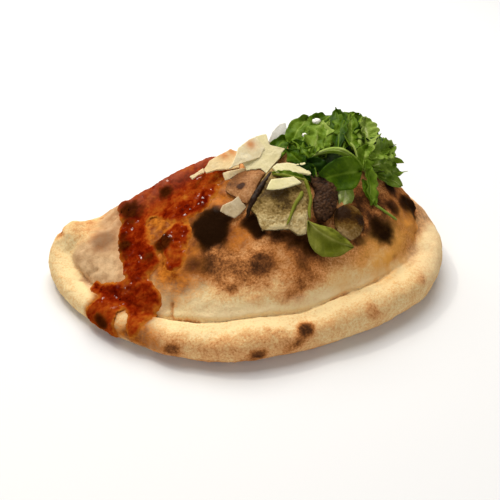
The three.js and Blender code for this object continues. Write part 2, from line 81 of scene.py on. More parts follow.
def apply_modifiers(piece):
    """Makes what the modifiers show the piece's own mesh."""
    shown = piece.evaluated_get(bpy.context.evaluated_depsgraph_get())
    mesh = bpy.data.meshes.new_from_object(shown)
    piece.modifiers.clear()
    piece.data = mesh
    return piece


def remesh(piece, voxel, smoothing):
    """Gives the piece an even skin of small squares, smoothed a number of times."""
    skin = piece.modifiers.new("skin", "REMESH")
    skin.mode = "VOXEL"
    skin.voxel_size = voxel
    relax = piece.modifiers.new("relax", "SMOOTH")
    relax.factor = 0.5
    relax.iterations = smoothing
    return apply_modifiers(piece)


def smooth_shaded(piece):
    for face in piece.data.polygons:
        face.use_smooth = True


def points_of(mesh):
    """The mesh's points and their outward normals, as arrays."""
    points = np.empty(len(mesh.vertices) * 3)
    normals = np.empty(len(mesh.vertices) * 3)
    mesh.vertices.foreach_get("co", points)
    mesh.vertices.foreach_get("normal", normals)
    return points.reshape(-1, 3), normals.reshape(-1, 3)


def move_points(mesh, points):
    mesh.vertices.foreach_set("co", points.ravel())
    mesh.update()


def in_mm(points):
    """Points as rows X, Y and Z, in millimetres from the middle of the tips' line."""
    return ((points - np.array(TIPS)) / MM).T


def distance_to(skin, x, y, z):
    """How far each point of a skin, which is given as its rows, is from a place, in millimetres."""
    X, Y, Z = skin
    return np.sqrt((X - x) ** 2 + (Y - y) ** 2 + (Z - z) ** 2)


def paint(mesh, name, values):
    """Stores one number per point for the material."""
    layer = mesh.attributes.get(name) or mesh.attributes.new(name, "FLOAT", "POINT")
    layer.data.foreach_set("value", np.asarray(values, np.float32))


def rough(points, scale, octaves, seed):
    """Fractal noise at each point, from about -1 to 1, with bumps of about the given size."""
    lower, finer = 1.0, 2.0  # each octave has bumps half as high and half as wide
    shift = Vector((seed, seed * 0.7, -seed))
    at = [Vector(p) / scale + shift for p in points]
    return np.array([noise.fractal(p, lower, finer, octaves) for p in at])


def step(values, low, high):
    """Rises smoothly from 0 to 1 between two values."""
    t = np.clip((values - low) / (high - low), 0, 1)
    return t * t * (3 - 2 * t)


def bell(values, width):
    """1 where the values are 0, fading away on both sides."""
    return np.exp(-((values / width) ** 2))


# The crease between the dome and the rim: the edges that fold inwards between two heights.
FOLD_ANGLE = -0.3  # radians
CREASE_LOW, CREASE_HIGH = 12 * MM, 36 * MM
dough_shape = merged_copy("crust")
sharp = dough_shape.edges.layers.float.new("crease_edge")
crease_points = []
for edge in dough_shape.edges:
    start, end = (corner.co.copy() for corner in edge.verts)
    between = CREASE_LOW < start.z < CREASE_HIGH and CREASE_LOW < end.z < CREASE_HIGH
    if between and edge.calc_face_angle_signed(0) < FOLD_ANGLE:
        edge[sharp] = 1
        crease_points += [start.lerp(end, quarter / 4) for quarter in range(4)]
bmesh.ops.join_triangles(
    dough_shape, faces=dough_shape.faces, angle_face_threshold=0.9, angle_shape_threshold=1.2
)
crease_tree = KDTree(len(crease_points))
for number, point in enumerate(crease_points):
    crease_tree.insert(point, number)
crease_tree.balance()
crust = new_piece("baked_dough", dough_shape)
rounding = crust.modifiers.new("rounding", "SUBSURF")
rounding.levels = rounding.render_levels = 2
apply_modifiers(crust)
remesh(crust, DOUGH_VOXEL, 2)

# At the right end and the left tip the dome runs out into the rim with hardly a crease. Each run-out has
# a place where it starts and a length, along x at the right end and along y at the tip, in millimetres.
RIGHT_START, RIGHT_LENGTH = 68, 24
TIP_START, TIP_LENGTH = -18, 16
BESIDE_CREASE = 18
run_out = crust.vertex_groups.new(name="run_out")
for corner in crust.data.vertices:
    x, y, z = (corner.co - TIPS) / MM
    run = 0
    if x > RIGHT_START and y < -10:
        run = (x - RIGHT_START) / RIGHT_LENGTH
    elif x < -108:
        run = (y - TIP_START) / TIP_LENGTH
    if run > 0 and z > 8:
        share = min(1, run) * (1 - (crease_tree.find(corner.co)[2] / MM / BESIDE_CREASE) ** 2)
        if share > 0:
            run_out.add([corner.index], share, "REPLACE")
filling = crust.modifiers.new("filling", "SMOOTH")
filling.factor = 0.5
filling.iterations = 110
filling.vertex_group = "run_out"
apply_modifiers(crust)
crust.vertex_groups.clear()

points, normals = points_of(crust.data)
skin = X, Y, Z = in_mm(points)
crease_distance = np.array([crease_tree.find(point)[2] for point in points]) / MM
middle = np.array(place(-5, -20))[:2]  # the dome's middle, seen from above


def bearing(plan):
    return np.arctan2(plan[:, 1], plan[:, 0])


crease_plan = np.array(crease_points)[:, :2] - middle
order = np.argsort(bearing(crease_plan))
# The crease's distance from the middle, averaged over a few of its points to each side.
EACH_SIDE = 4
averaging = np.full(2 * EACH_SIDE + 1, 1 / (2 * EACH_SIDE + 1))
crease_reach = np.pad(np.linalg.norm(crease_plan, axis=1)[order], EACH_SIDE, "edge")
crease_reach = np.interp(
    bearing(points[:, :2] - middle),
    bearing(crease_plan)[order],
    np.convolve(crease_reach, averaging, "valid"),
)
# How far out over the rim a point is, in millimetres, or how far in on the dome where it is less than 0.
outside = (np.linalg.norm(points[:, :2] - middle, axis=1) - crease_reach) / MM
soft_end = step(X, 72, 100)
set_back = 4 * soft_end + 5 * step(-X, 104, 112) * step(-Y, 24, 34)
rim = step((outside - set_back) / (1 + 3 * soft_end), -1, 2) * step(-Y, -24, -8)
# At the right end the brown of the dome reaches over the rim, up to a line through a point.
LINE_X, LINE_Y, OUT_X, OUT_Y = 103.6, -84.6, 0.538, -0.843
across_line = OUT_X * (X - LINE_X) + OUT_Y * (Y - LINE_Y)
browned_end = step(-across_line, -3, 5) * step(X, 90, 106) * step(Z, 17, 28) * step(-Y, 18, 40)
rim *= 1 - browned_end
dome = 1 - rim

# Blisters, scorched patches and, along the mushroom slices' lower edges, painted shade mixed with char: x,
# y, z in millimetres, radius, how dark and how far the skin has risen.
CHAR_AND_SLICE_SHADE = [
    (-37, -50, 58, 19, 1, 1.2), (-40, -58, 55, 11, 1, 0.2), (-33, -58, 57, 8, 0.7, 0.3),
    (-58, -70, 42, 8, 0.5, 0.1), (-56, 3, 53, 6, 0.9, 0.4), (-70, -43, 44, 9, 0.95, 0.4),
    (-82, 8, 43, 6, 0.5, 0), (-94, -27, 36, 9, 0.5, 0), (-52, -72, 46, 12, 0.32, 0.4),
    (-40, -76, 46, 15, 0.28, 0.3), (-46, -84, 41, 14, 0.2, 0), (-12, -88, 48, 11, 0.56, 0.7),
    (-28, -86, 45, 8, 0.34, 0.2), (-20, -92, 40, 9, 0.2, 0.1), (12, -100, 40, 9, 0.28, 0.3),
    (14, -88, 51, 12, 0.5, 0.2), (69, -84, 51, 9, 0.5, 0.2), (22, -92, 44, 11, 0.2, 0),
    (-36, -94, 37, 5, 0.42, 0.3), (-22, -104, 32, 6, 0.2, 0.2), (-6, -107, 32, 8, 0.36, 0.1),
    (6, -108, 33, 9, 0.42, 0.2), (20, -104, 37, 9, 0.22, 0.2), (36, -98, 39, 10, 0.2, 0),
    (56, -92, 42, 10, 0.22, 0), (10, -70, 56, 18, 0.35, 0), (-12, -61, 62, 8, 0.9, 0.2),
    (-9, -69, 59, 7, 0.85, 0.1), (2, -75, 57, 7, 0.6, 0), (12, -79, 56, 7, 0.5, 0),
    (21, -84, 53, 8, 0.62, 0), (24, -90, 50, 8, 0.3, 0), (62, -81, 58, 7, 0.6, 0), (57, -88, 51, 7, 0.5, 0),
    (33, -78, 64, 8, 0.7, 0), (79, -83, 48.5, 11.5, 0.97, 0.8), (84, -79, 51, 15, 0.45, 0),
    (66, -70, 57, 12, 0.45, 0), (74, -60, 62, 14, 0.5, 0), (90, -62, 58, 11, 0.45, 0),
    (97, -66, 53, 8, 0.72, 0.3), (106, -47, 58, 9, 0.82, 0.2), (116, -38, 56, 8, 0.5, 0.2),
    (112, -56, 46, 8, 0.7, 0.2), (118, -50, 43, 8, 0.85, 0.2), (119, -56, 38, 7, 0.8, 0.2),
    (122, -60, 31, 5, 0.35, 0), (-3, -21, 80, 6, 0.45, 0), (130, -36, 33, 8, 0.25, 0),
    (112, -58, 48, 13, 0.3, 0), (84, -96, 34, 5, 0.4, 0.2), (96, -92, 33, 5, 0.3, 0.1),
    (3, -127, 21, 7, 0.66, 0.5), (-3, -129, 16, 6, 0.34, 0), (-30, -131, 11, 7, 0.55, 0.3),
    (-38, -131, 8, 8, 0.25, 0), (-8, -132, 13, 8, 0.3, 0), (-66, -121, 20, 7, 0.16, 0),
    (50, -127, 21, 7, 0.32, 0.2), (56, -127, 12, 9, 0.18, 0), (97, -112, 24, 6, 0.34, 0.2),
    (103, -108, 12, 9, 0.2, 0), (-81, -110, 11, 8, 0.5, 0.3), (-93, -99, 15, 9, 0.3, 0),
    (-136, 10, 28, 7, 0.34, 0), (-134, 16, 33, 7, 0.2, 0), (-131, 10, 31, 13, 0, 5),
    (-106, 9, 38, 14, 0, -3.5), (126, -44, 33, 15, 0, 4), (119, -60, 32, 14, 0, 3.5),
    (108, -76, 31, 13, 0, 3), (-108, -14, 35, 14, 0.55, 0),
]  # fmt: skip
# Where oil from the sauce has soaked into the crust and fried it golden: x, y, z, radius, how much.
OILY = [
    (-66, -30, 50, 16, 1), (-58, -58, 47, 14, 0.9), (-72, -66, 38, 16, 1), (-66, -76, 35, 14, 0.9),
    (-56, -80, 36, 11, 0.6), (-78, -72, 32, 12, 0.8), (-72, -80, 29, 10, 0.7), (-76, -76, 29, 11, 0.6),
    (-60, -70, 41, 14, 0.8), (-26, -34, 66, 14, 0.9), (-22, -66, 57, 12, 0.7), (-98, -92, 14, 15, 0.9),
    (-109, -86, 12, 7, 1), (-104, -91, 11, 9, 1), (-98, -97, 11, 9, 1), (-91, -102, 11, 8, 0.7),
    (-112, -82, 12, 10, 0.8), (-99, -58, 26, 10, 0.7), (-88, -84, 21, 7, 0.5), (106, -66, 46, 18, 0.4),
    (116, -50, 48, 14, 0.4), (10, -88, 48, 20, 0.25),
]  # fmt: skip
# Where the bare crust has turned a light gold: x, y, z, radius, how much.
GOLDEN = [
    (72, -95, 39, 20, 0.85), (58, -100, 36, 14, 0.5), (88, -88, 41, 19, 0.85), (106, -74, 40, 16, 0.7),
    (116, -64, 36, 12, 0.5), (38, -104, 33, 14, 0.35),
]  # fmt: skip
# Where the skin has split: points along each crack.
CRACKS = [
    [(-74, -84, 25.5), (-75, -86.5, 23), (-75.5, -88.5, 20.5), (-75, -91, 17.5)],
    [(-75, -91, 17.5), (-71.5, -93, 18.3), (-67.5, -95.2, 19.3), (-64, -97.6, 19.6), (-60.5, -100, 20)],
    [(29, -111.3, 23.1), (34, -110.1, 23.3), (40, -108.7, 23.9)],
    [(-129, -20, 19), (-127, -26, 17), (-124.5, -32, 15), (-121, -38, 15.5), (-118, -44, 17)],
]


def near(skin, ragged, x, y, z, radius):
    """1 at a place on the skin, fading to 0 round about the radius with a ragged edge."""
    return step(-(distance_to(skin, x, y, z) + 0.2 * radius * ragged), -radius * 1.3, -radius * 0.3)


def strongest(skin, ragged, patches):
    """The strongest of a set of patches at each point: x, y, z, radius and strength."""
    total = np.zeros(len(ragged))
    for x, y, z, radius, strength in patches:
        total = np.maximum(total, near(skin, ragged, x, y, z, radius) * strength)
    return total


ragged = rough(points, 7 * MM, 3, 3.1)
lump = rough(points, 26 * MM, 2, 1.7)
ripple = rough(points, 9 * MM, 3, 8.3)
grain = rough(points, 3 * MM, 2, 5.9)
scorch = np.zeros(len(points))
blister = np.zeros(len(points))
for x, y, z, radius, char_and_shade, risen in CHAR_AND_SLICE_SHADE:
    patch = near(skin, ragged, x, y, z, radius)
    scorch = 1 - (1 - scorch) * (1 - patch * char_and_shade)
    blister += risen * patch
oily = strongest(skin, ragged, OILY)
paint(crust.data, "golden", strongest(skin, ragged, GOLDEN) * (0.9 + 0.5 * ripple))
FAR = 50.0  # a distance from the cracks at which nothing of them shows
crack = np.full(len(points), FAR)
for line in CRACKS:
    for start, end in zip(line, line[1:]):
        for share in np.linspace(0, 1, 5):
            crack = np.minimum(crack, distance_to(skin, *Vector(start).lerp(Vector(end), share)))

# The relief in millimetres: lumps of three sizes, a lip beside the crease, the crease itself, the cracks,
# and a crest where the dome is fullest, under the sauce.
LUMPS, RIPPLES, GRAINS = 0.9, 0.55, 0.16
LIP, GROOVE, SPLIT, CREST, FULLER = 0.9, 2.4, 2.4, 3.6, 1.3
clear_of_floor = step(Z, 0.6, 5)
fades = step(-Z, -34, -26) * (0.35 + 0.65 * step(X, -126, -100))
lip = LIP * bell(crease_distance - 3.2, 2.2) * fades
groove = GROOVE * bell(crease_distance, 1.3) * (0.8 + 0.3 * ripple) * (0.35 + 0.65 * fades)
groove *= 1 - 0.85 * soft_end
split = SPLIT * bell(crack, 0.9)
crest = bell(Y - 8 - 5 * step(X, -60, -35), 13) * step(Z, 28, 38)
crest *= (CREST + FULLER * step(X, -80, -50)) * step(X, -114, -94) * (1 - step(X, -22, -4))
swelling = LUMPS * lump + RIPPLES * ripple + GRAINS * grain + blister + lip + crest
swelling = clear_of_floor * swelling
uncut = points + normals * (swelling * MM)[:, None]
points = uncut - normals * ((groove + split) * MM)[:, None]
points[:, 2] = np.maximum(points[:, 2], 0)
move_points(crust.data, points)

under_top = step(outside + 3.0 * lump + 2.5 * ripple, 8, 17) + 0.5 * step(-Z, -9, -2)
pale_end = step(X, -125, -85)
rim_level = 0.01 + under_top * (0.09 + 0.19 * pale_end) * (1 - 0.45 * step(X, -20, 40))
brown_above = Z + 4 * lump + 3 * ripple - 5 * step(X, 0, 40) + 18 * step(X, 70, 105)
dome_level = 0.05 + 0.38 * step(brown_above, 29, 41)
dusty = step(-X + 4 * ripple, 82, 95) * step(X - Y + 3 * ripple, -128, -116) * dome
dusty *= 1 - near(skin, ragged, -124, 7, 33, 16)
dusty = np.maximum(dusty, 0.8 * near(skin, ragged, -82, -81, 22, 8))
paint(crust.data, "baked", rim * rim_level + dome * dome_level + 0.1 * browned_end)
# The scorch holds the char and, along the mushroom slices' lower edges, painted shade under them.
paint(crust.data, "scorch", scorch)
paint(crust.data, "back_and_foot", np.clip(step(Y, 2, 14) + step(-Z, -3, -0.5), 0, 1))
paint(crust.data, "dusty", dusty)
# The dome's low strip above the crease is paled: partly flour, partly painted light on a strip that faces
# down into shade. The rim at the right end is floured too.
low_strip = dome * step(-Z + 2 * ripple, -34, -25) * step(X, -70, -55) * (1 - 0.4 * step(X, 70, 110))
floured = np.clip(low_strip + 0.7 * rim * step(X, 85, 120) * step(Z, 10, 22) * step(-Y, 50, 68), 0, 1)
paint(crust.data, "floured", floured * (0.8 + 0.5 * lump))
# Painted shade: the crust is darker along the cracks and along the crease between the dome and the rim,
# less so towards the right end.
painted_crease_shade = bell(crease_distance, 0.9) * (0.5 - 0.4 * step(X, 30, 80))
paint(crust.data, "crack", bell(crack, 1.1) + painted_crease_shade)


class Wire:
    """A socket that can be calculated with: each operation adds a Math node."""

    def __init__(self, finish, socket):
        self.finish, self.socket = finish, socket

    def maths(self, operation, first, second):
        return self.finish.node("Math", {"operation": operation}, {"Value": first, "Value_001": second})

    def __add__(self, other):
        return self.maths("ADD", self, other)

    def __sub__(self, other):
        return self.maths("SUBTRACT", self, other)

    def __rsub__(self, other):
        return self.maths("SUBTRACT", other, self)

    def __mul__(self, other):
        return self.maths("MULTIPLY", self, other)

    __radd__, __rmul__ = __add__, __mul__


class Finish:
    """A material that is put together node by node."""

    def __init__(self, name):
        self.material = bpy.data.materials.new(name)
        self.material.use_nodes = True
        self.tree = self.material.node_tree
        self.tree.nodes.clear()

    def node(self, kind, settings=(), sockets=(), output=None):
        """Adds a node: its settings, then its sockets' values or links. Gives an output, or its first."""
        made = self.tree.nodes.new("ShaderNode" + kind)
        for key, value in dict(settings).items():
            if key == "stops":
                for _ in value[2:]:
                    made.color_ramp.elements.new(0.5)
                for stop, (position, colour) in zip(made.color_ramp.elements, value):
                    stop.position = position
                    stop.color = colour
            else:
                setattr(made, key, value)
        for key, value in dict(sockets).items():
            socket = next(s for s in made.inputs if key in (s.identifier, s.name))
            if isinstance(value, Wire):
                self.tree.links.new(value.socket, socket)
            else:
                socket.default_value = value
        return Wire(self, next(s for s in made.outputs if output in (None, s.identifier, s.name)))

    def place(self):
        return self.node("TexCoord", output="Object")

    def stored(self, name):
        """A number that the mesh stores at each point."""
        return self.node("Attribute", {"attribute_name": name}, output="Fac")

    def cloud(self, size, detail=3.0, roughness=0.55, distortion=0.0):
        """Noise from 0 to 1 with blotches of about a size in metres."""
        sockets = {"Vector": self.place(), "Scale": 1 / size, "Detail": detail}
        sockets |= {"Roughness": roughness, "Distortion": distortion}
        return self.node("TexNoise", {}, sockets, output="Fac")

    def rise(self, value, low, high, to_low=0.0, to_high=1.0):
        """Rises smoothly between two values."""
        sockets = {"Value": value, "From Min": low, "From Max": high, "To Min": to_low, "To Max": to_high}
        return self.node("MapRange", {"interpolation_type": "SMOOTHSTEP"}, sockets)

    def ramp(self, value, places, colours):
        """Runs through colours, given as the eye's 0 to 255 values, at places from 0 to 1."""
        stops = [(at, tint(*colour)) for at, colour in zip(places, colours)]
        return self.node("ValToRGB", {"stops": stops}, {"Fac": value})

    def mix(self, share, first, second):
        sockets = {"Factor_Float": share, "A_Color": first, "B_Color": second}
        return self.node("Mix", {"data_type": "RGBA"}, sockets, output="Result_Color")

    def bump(self, height, depth, strength=1.0, under=None):
        """Relief whose full height is a depth in metres."""
        sockets = {"Height": height, "Distance": depth, "Strength": strength}
        if under:
            sockets["Normal"] = under
        return self.node("Bump", {}, sockets)

    def surface(self, *pieces, **sockets):
        """Ends the material, from the shader's socket names with _ for a blank, and puts it on pieces."""
        named = {key.replace("_", " "): value for key, value in sockets.items()}
        shader = self.node("BsdfPrincipled", {}, named)
        end = self.tree.nodes.new("ShaderNodeOutputMaterial")
        self.tree.links.new(shader.socket, end.inputs["Surface"])
        for piece in pieces:
            piece.data.materials.append(self.material)
        return self.material


def tint(red, green, blue):
    """A colour as the eye's 0 to 255 values, made linear."""
    shares = (value / 255 for value in (red, green, blue))
    return (*(((c + 0.055) / 1.055) ** 2.4 if c > 10 / 255 else c / 12.92 for c in shares), 1.0)


crust_finish = Finish("baked_dough")
level = crust_finish.stored("baked")
# Char, and the painted shade under the mushroom slices, darken the crust towards charcoal.
char_and_shade = crust_finish.stored("scorch")
hidden = crust_finish.stored("back_and_foot")
blotches = crust_finish.cloud(0.02, 4, 0.6, 0.4)
mottle = crust_finish.cloud(0.006, 4, 0.65)
specks = crust_finish.cloud(0.0015, 3, 0.8)
leopard = crust_finish.rise(crust_finish.cloud(0.014, 3, 0.6, 0.8), 0.6, 0.74)
level = level + (blotches - 0.5) * 0.36 + (mottle - 0.5) * 0.38 + (specks - 0.5) * (0.75 - 0.3 * hidden)
char_and_shade = crust_finish.rise(char_and_shade + (mottle - 0.5) * 0.5 * char_and_shade, 0.0, 1.0)
# The stored crack mark darkens the crust as painted shade in the cracks and the crease.
level = level + (0.98 - level) * char_and_shade + hidden * leopard * 0.35 + crust_finish.stored("crack") * 0.3
# From raw dough over golden and brown crust to charcoal.
BAKED = [
    (246, 222, 170), (236, 196, 138), (222, 163, 107), (186, 122, 68),
    (130, 80, 43), (76, 46, 26), (40, 19, 3), (28, 12, 1),
]  # fmt: skip
crust_colour = crust_finish.ramp(level, (0, 0.18, 0.34, 0.5, 0.64, 0.78, 0.9, 1), BAKED)
# Flour, and the painted light on the dome's low strip, pale the crust towards a warm cream.
flour_and_light = crust_finish.stored("floured") * (0.35 + 0.7 * blotches) * (1 - char_and_shade)
crust_colour = crust_finish.mix(flour_and_light, crust_colour, tint(255, 234, 190))
mottled = crust_finish.rise(mottle, 0.3, 0.7)
dust_colour = crust_finish.mix(mottled, tint(182, 138, 100), tint(222, 188, 148))
dust_colour = crust_finish.mix(char_and_shade, dust_colour, tint(110, 70, 42))
crust_colour = crust_finish.mix(crust_finish.stored("dusty") * 0.85, crust_colour, dust_colour)
gold = crust_finish.stored("golden") * (0.6 + 0.6 * mottle) * (1 - char_and_shade)
crust_colour = crust_finish.mix(gold, crust_colour, tint(234, 168, 80))
oil = crust_finish.stored("oily") * (0.7 + 0.6 * blotches)
glaze = crust_finish.mix(mottled, tint(124, 54, 4), tint(204, 122, 36))
crust_colour = crust_finish.mix(oil * (1 - char_and_shade), crust_colour, glaze)
crust_relief = crust_finish.bump(mottle, 0.0012, 0.5)
crust_relief = crust_finish.bump(specks, 0.0006, 0.7, crust_relief)
crust_finish.surface(
    crust,
    Base_Color=crust_colour,
    Roughness=0.85,
    Specular_IOR_Level=0.03,
    Coat_Weight=crust_finish.rise(oil, 0.3, 1.0, 0.0, 0.1),
    Coat_Roughness=0.3,
    Normal=crust_relief,
)
smooth_shaded(crust)
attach(crust, "root")
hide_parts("crust")

# ---- Tomato sauce ----
# A thin coat of cooked, sieved tomato, spooned over the left end, that has run down over the crease and the
# rim. It is wet and full of pulp, and the oven has scorched a few spots and parts of its edge.

# Where the sauce lies: x, y, z in millimetres and how far it spreads.
POOLS = [
    (-81, 2, 43, 11), (-69, 3, 48, 13), (-58, 1, 54, 14), (-47, -3, 60, 14), (-42, -21, 63, 12),
    (-37, -28, 65, 9), (-49, -26, 60, 9), (-57, -20, 55, 8), (-34, -10, 68, 13), (-23, -7, 73, 12),
    (-15, -6, 79, 11), (-30, -21, 69, 9), (-84, -14, 43, 11), (-88, -27, 41, 12), (-89, -40, 39, 12),
    (-89, -50, 37, 10), (-93, -55, 34, 8), (-91, -14, 40, 7), (-91, -23, 39, 8), (-92, -32, 38, 8),
    (-92, -41, 37, 8), (-91, -49, 35, 7), (-86, -22, 42, 9), (-83, -4, 43, 9), (-84, 3, 42, 8),
    (-79, -9, 44, 8), (-66, -9, 49, 8), (-62, -14, 50, 8), (-56, -22, 53, 8), (-51, -29, 58, 7),
    (-43, -31, 62, 6), (-59, -45, 52, 9), (-65, -57, 45, 8), (-65, -62, 41, 6), (-81, -46, 41, 5),
    (-80, -53, 37, 6), (-101, -63, 25, 9), (-93, -69, 26, 12), (-87, -76, 26, 9), (-99, -70, 22, 9),
    (-111, -62, 22, 10), (-119, -66, 20, 10), (-122, -69, 15, 9), (-129, -64, 12, 6), (-118, -77, 13, 9),
    (-112, -73, 21, 7), (-97, -82, 20, 8), (-91, -80, 21, 7), (-101.5, -86, 17, 6), (-120, -42, 18, 5),
    (-117, -47, 19, 5), (-113, -52, 21, 6), (-108, -57, 22, 7), (-126, -72, 10, 9), (-122, -78, 6, 9),
    (-119, -82, 5, 8), (-102, -89, 14, 4.5), (-63, -38, 51, 9), (-58, -44, 53, 9), (-55, -45, 51, 4),
    (-69, -42, 47, 8), (-67, -50, 48, 9), (-66, -57, 45, 7), (-68, -62, 42, 5), (-88, 12, 43, 6),
    (-62, 14, 53, 12), (-46, 14, 58, 12), (-30, 10, 68, 12), (-16, 8, 76, 10), (-74, 16, 42, 9),
    (-52, 22, 44, 8), (-36, 21, 52, 8),
]  # fmt: skip
# Where crust shows through it, in the same way.
BARE = [
    (-107, -77, 19, 4), (-109, -82, 16, 4), (-110, -87, 12, 4), (-104, -73, 21, 2.5),
    (-73, -18, 45, 5), (-70, -33, 48, 5),
]  # fmt: skip


def covered(skin, pools):
    """How strongly a set of pools covers each point of a skin."""
    X, Y, Z = skin
    total = np.zeros(len(X))
    for x, y, z, spread in pools:
        total += np.exp(-1.4 * ((X - x) ** 2 + (Y - y) ** 2 + (Z - z) ** 2) / spread**2)
    return total


def sauce_cover(skin, ragged):
    return covered(skin, POOLS) - 1.3 * covered(skin, BARE) * (1 + 1.3 * ragged)


# Its oil soaks into the crust around it, but not through flour, nor where the rim shows between its legs.
skin = in_mm(points)
cover = sauce_cover(skin, ragged)
halo = covered(skin, [(x, y, z, 1.5 * spread) for x, y, z, spread in POOLS])
oily = np.maximum(oily, step(halo, 0.4, 1.8)) * (1 - 0.8 * dusty)
oily *= 1 - 0.75 * near(skin, ragged, -107, -79.5, 17, 7)
paint(crust.data, "oily", np.clip(oily, 0, 1))
COVERED = 0.1  # the least cover that holds any sauce
sauce_shape = bmesh.new()
sauce_shape.from_mesh(crust.data)
sauce_shape.verts.ensure_lookup_table()
for corner, spot in zip(sauce_shape.verts, uncut):
    corner.co = spot
uncovered = [sauce_shape.verts[i] for i in np.nonzero(cover < COVERED)[0]]
bmesh.ops.delete(sauce_shape, geom=uncovered, context="VERTS")
loose = [corner for corner in sauce_shape.verts if not corner.link_faces]
bmesh.ops.delete(sauce_shape, geom=loose, context="VERTS")
# The sauce fills the crease instead of following it down.
FILLINGS, FILLED = 24, 5 * MM
for _ in range(FILLINGS):
    over_crease = [corner for corner in sauce_shape.verts if crease_tree.find(corner.co)[2] < FILLED]
    bmesh.ops.smooth_vert(
        sauce_shape, verts=over_crease, factor=0.5, use_axis_x=True, use_axis_y=True, use_axis_z=True
    )
bmesh.ops.subdivide_edges(sauce_shape, edges=sauce_shape.edges, cuts=1, use_grid_fill=True, smooth=0.0)
sauce = new_piece("tomato_sauce_coat", sauce_shape)
points, normals = points_of(sauce.data)
skin = X, Y, Z = in_mm(points)
ragged = rough(points, 6 * MM, 3, 12.4)
cover = sauce_cover(skin, ragged)
pulp = rough(points, 3.4 * MM, 3, 4.4)
strands = np.abs(rough(points, 5 * MM, 2, 21.0))
inside = step(cover + 0.22 * ragged, 0.08, 0.95)
EDGE, DEEP = -0.75, 1.1  # how high the sauce stands over the crust at its edge and farther in, in mm
thickness = EDGE + (DEEP - EDGE) * inside + inside * (0.45 * pulp + 0.3 * (0.4 - strands))
points += normals * (thickness * MM)[:, None]
points[:, 2] = np.maximum(points[:, 2], 0.2 * MM)
move_points(sauce.data, points)
# Where it is thin and watery, and where the oven has scorched it: x, y, z, radius, how much.
WATERY = [
    (-120, -72, 16, 17, 1), (-108, -84, 12, 18, 1), (-94, -86, 19, 12, 1), (-66, -56, 46, 10, 1),
    (-66, -2, 49, 15, 1), (-48, -10, 58, 15, 1), (-30, -12, 69, 13, 1),
]  # fmt: skip
BURNT = [
    (-56, 1, 55, 8, 1), (-71, -43, 45, 11, 1), (-84, 4, 42, 13, 1), (-78, 0, 44, 9, 0.8),
    (-88, -8, 41, 8, 0.7), (-95, -20, 39, 8, 0.8), (-96, -28, 38, 9, 0.95), (-97, -36, 36, 7, 0.7),
    (-81, -48, 41, 8, 0.8), (-122, -73, 13, 9, 1), (-38, -33, 64, 6, 0.6),
]  # fmt: skip
thin = 1 - step(cover + 0.5 * ragged, 0.35, 1.25)
thin += 0.42 * strongest(skin, ragged, WATERY) + 0.15 * pulp
paint(sauce.data, "thin", np.clip(thin, 0, 1))
paint(sauce.data, "scorch", strongest(skin, ragged, BURNT))
# Along the crest a pale pinkish sheen is painted on.
dull = bell(Y - 9 - 3 * ragged, 9) * step(X, -100, -85) * (1 - step(X, -20, -5))
paint(sauce.data, "dull", dull * (0.8 + 0.8 * ragged))
coat = sauce.modifiers.new("coat", "SOLIDIFY")
coat.thickness = 1.2 * MM
coat.offset = -1
apply_modifiers(sauce)

sauce_finish = Finish("tomato_sauce")
pulp_cloud = sauce_finish.cloud(0.004, 4, 0.6, 0.6)
blotch_cloud = sauce_finish.cloud(0.013, 3, 0.6, 0.5)
thin = sauce_finish.stored("thin")
sauce_level = 0.22 + thin * 0.6 + (pulp_cloud - 0.5) * 0.8 + (blotch_cloud - 0.5) * 1.0
THICK_TO_THIN = [(86, 10, 0), (124, 32, 4), (150, 58, 14), (166, 82, 22), (182, 108, 36)]
sauce_colour = sauce_finish.ramp(sauce_level, (0.05, 0.26, 0.46, 0.68, 0.9), THICK_TO_THIN)
# Painted sheen: a pale pinkish tint along the crest.
sauce_colour = sauce_finish.mix(sauce_finish.stored("dull") * 0.45, sauce_colour, tint(170, 96, 70))
sauce_burnt = sauce_finish.rise(sauce_finish.stored("scorch") + (pulp_cloud - 0.5) * 0.9, 0.3, 1.1)
char_colour = sauce_finish.mix(sauce_finish.rise(pulp_cloud, 0.35, 0.65), tint(24, 8, 0), tint(72, 30, 6))
sauce_colour = sauce_finish.mix(sauce_burnt, sauce_colour, char_colour)
sauce_relief = sauce_finish.bump(pulp_cloud, 0.001, 0.5)
wet = sauce_finish.rise(sauce_finish.cloud(0.0034, 2, 0.5), 0.58, 0.64, 0.0, 0.8)
wet = wet * sauce_finish.rise(sauce_finish.cloud(0.017, 2, 0.5), 0.5, 0.6)
sauce_finish.surface(
    sauce,
    Base_Color=sauce_colour,
    Roughness=0.5,
    Specular_IOR_Level=0.0,
    Coat_Weight=wet * (1 - 0.85 * sauce_burnt),
    Coat_Roughness=0.06,
    Coat_IOR=1.9,
    Normal=sauce_relief,
)
smooth_shaded(sauce)
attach(sauce, "root")
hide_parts("tomato_sauce")

# ---- Mushrooms ----
# Slices of field mushroom that were baked on the pizza: spongy, moist flesh with a dark skin left on the
# outer edge of each slice.


def solid_skin(name, node, voxel, smoothing):
    """A piece with an even skin over a CAD node's shape."""
    return remesh(new_piece(name, merged_copy(node)), voxel, smoothing)


def wrinkle(piece, waves, seed):
    """Moves the skin in and out with noise, each wave a size and a height in mm, and gives how far."""
    at, outwards = points_of(piece.data)
    moved = np.zeros(len(at))
    for number, (size, height) in enumerate(waves):
        moved += height * rough(at, size * MM, 2, seed + 3.7 * number)
    move_points(piece.data, at + outwards * (moved * MM)[:, None])
    return moved


def along(controls, share):
    """A point on the Bezier curve of any number of controls."""
    chain = [Vector(control) for control in controls]
    while len(chain) > 1:
        chain = [first.lerp(second, share) for first, second in zip(chain, chain[1:])]
    return chain[0]


def frame_at(controls, share, facing):
    """A point of the curve with the directions forwards, sideways and up."""
    ahead = (along(controls, min(1, share + 0.02)) - along(controls, max(0, share - 0.02))).normalized()
    side = ahead.cross(Vector(facing)).normalized()
    return along(controls, share), ahead, side, side.cross(ahead)


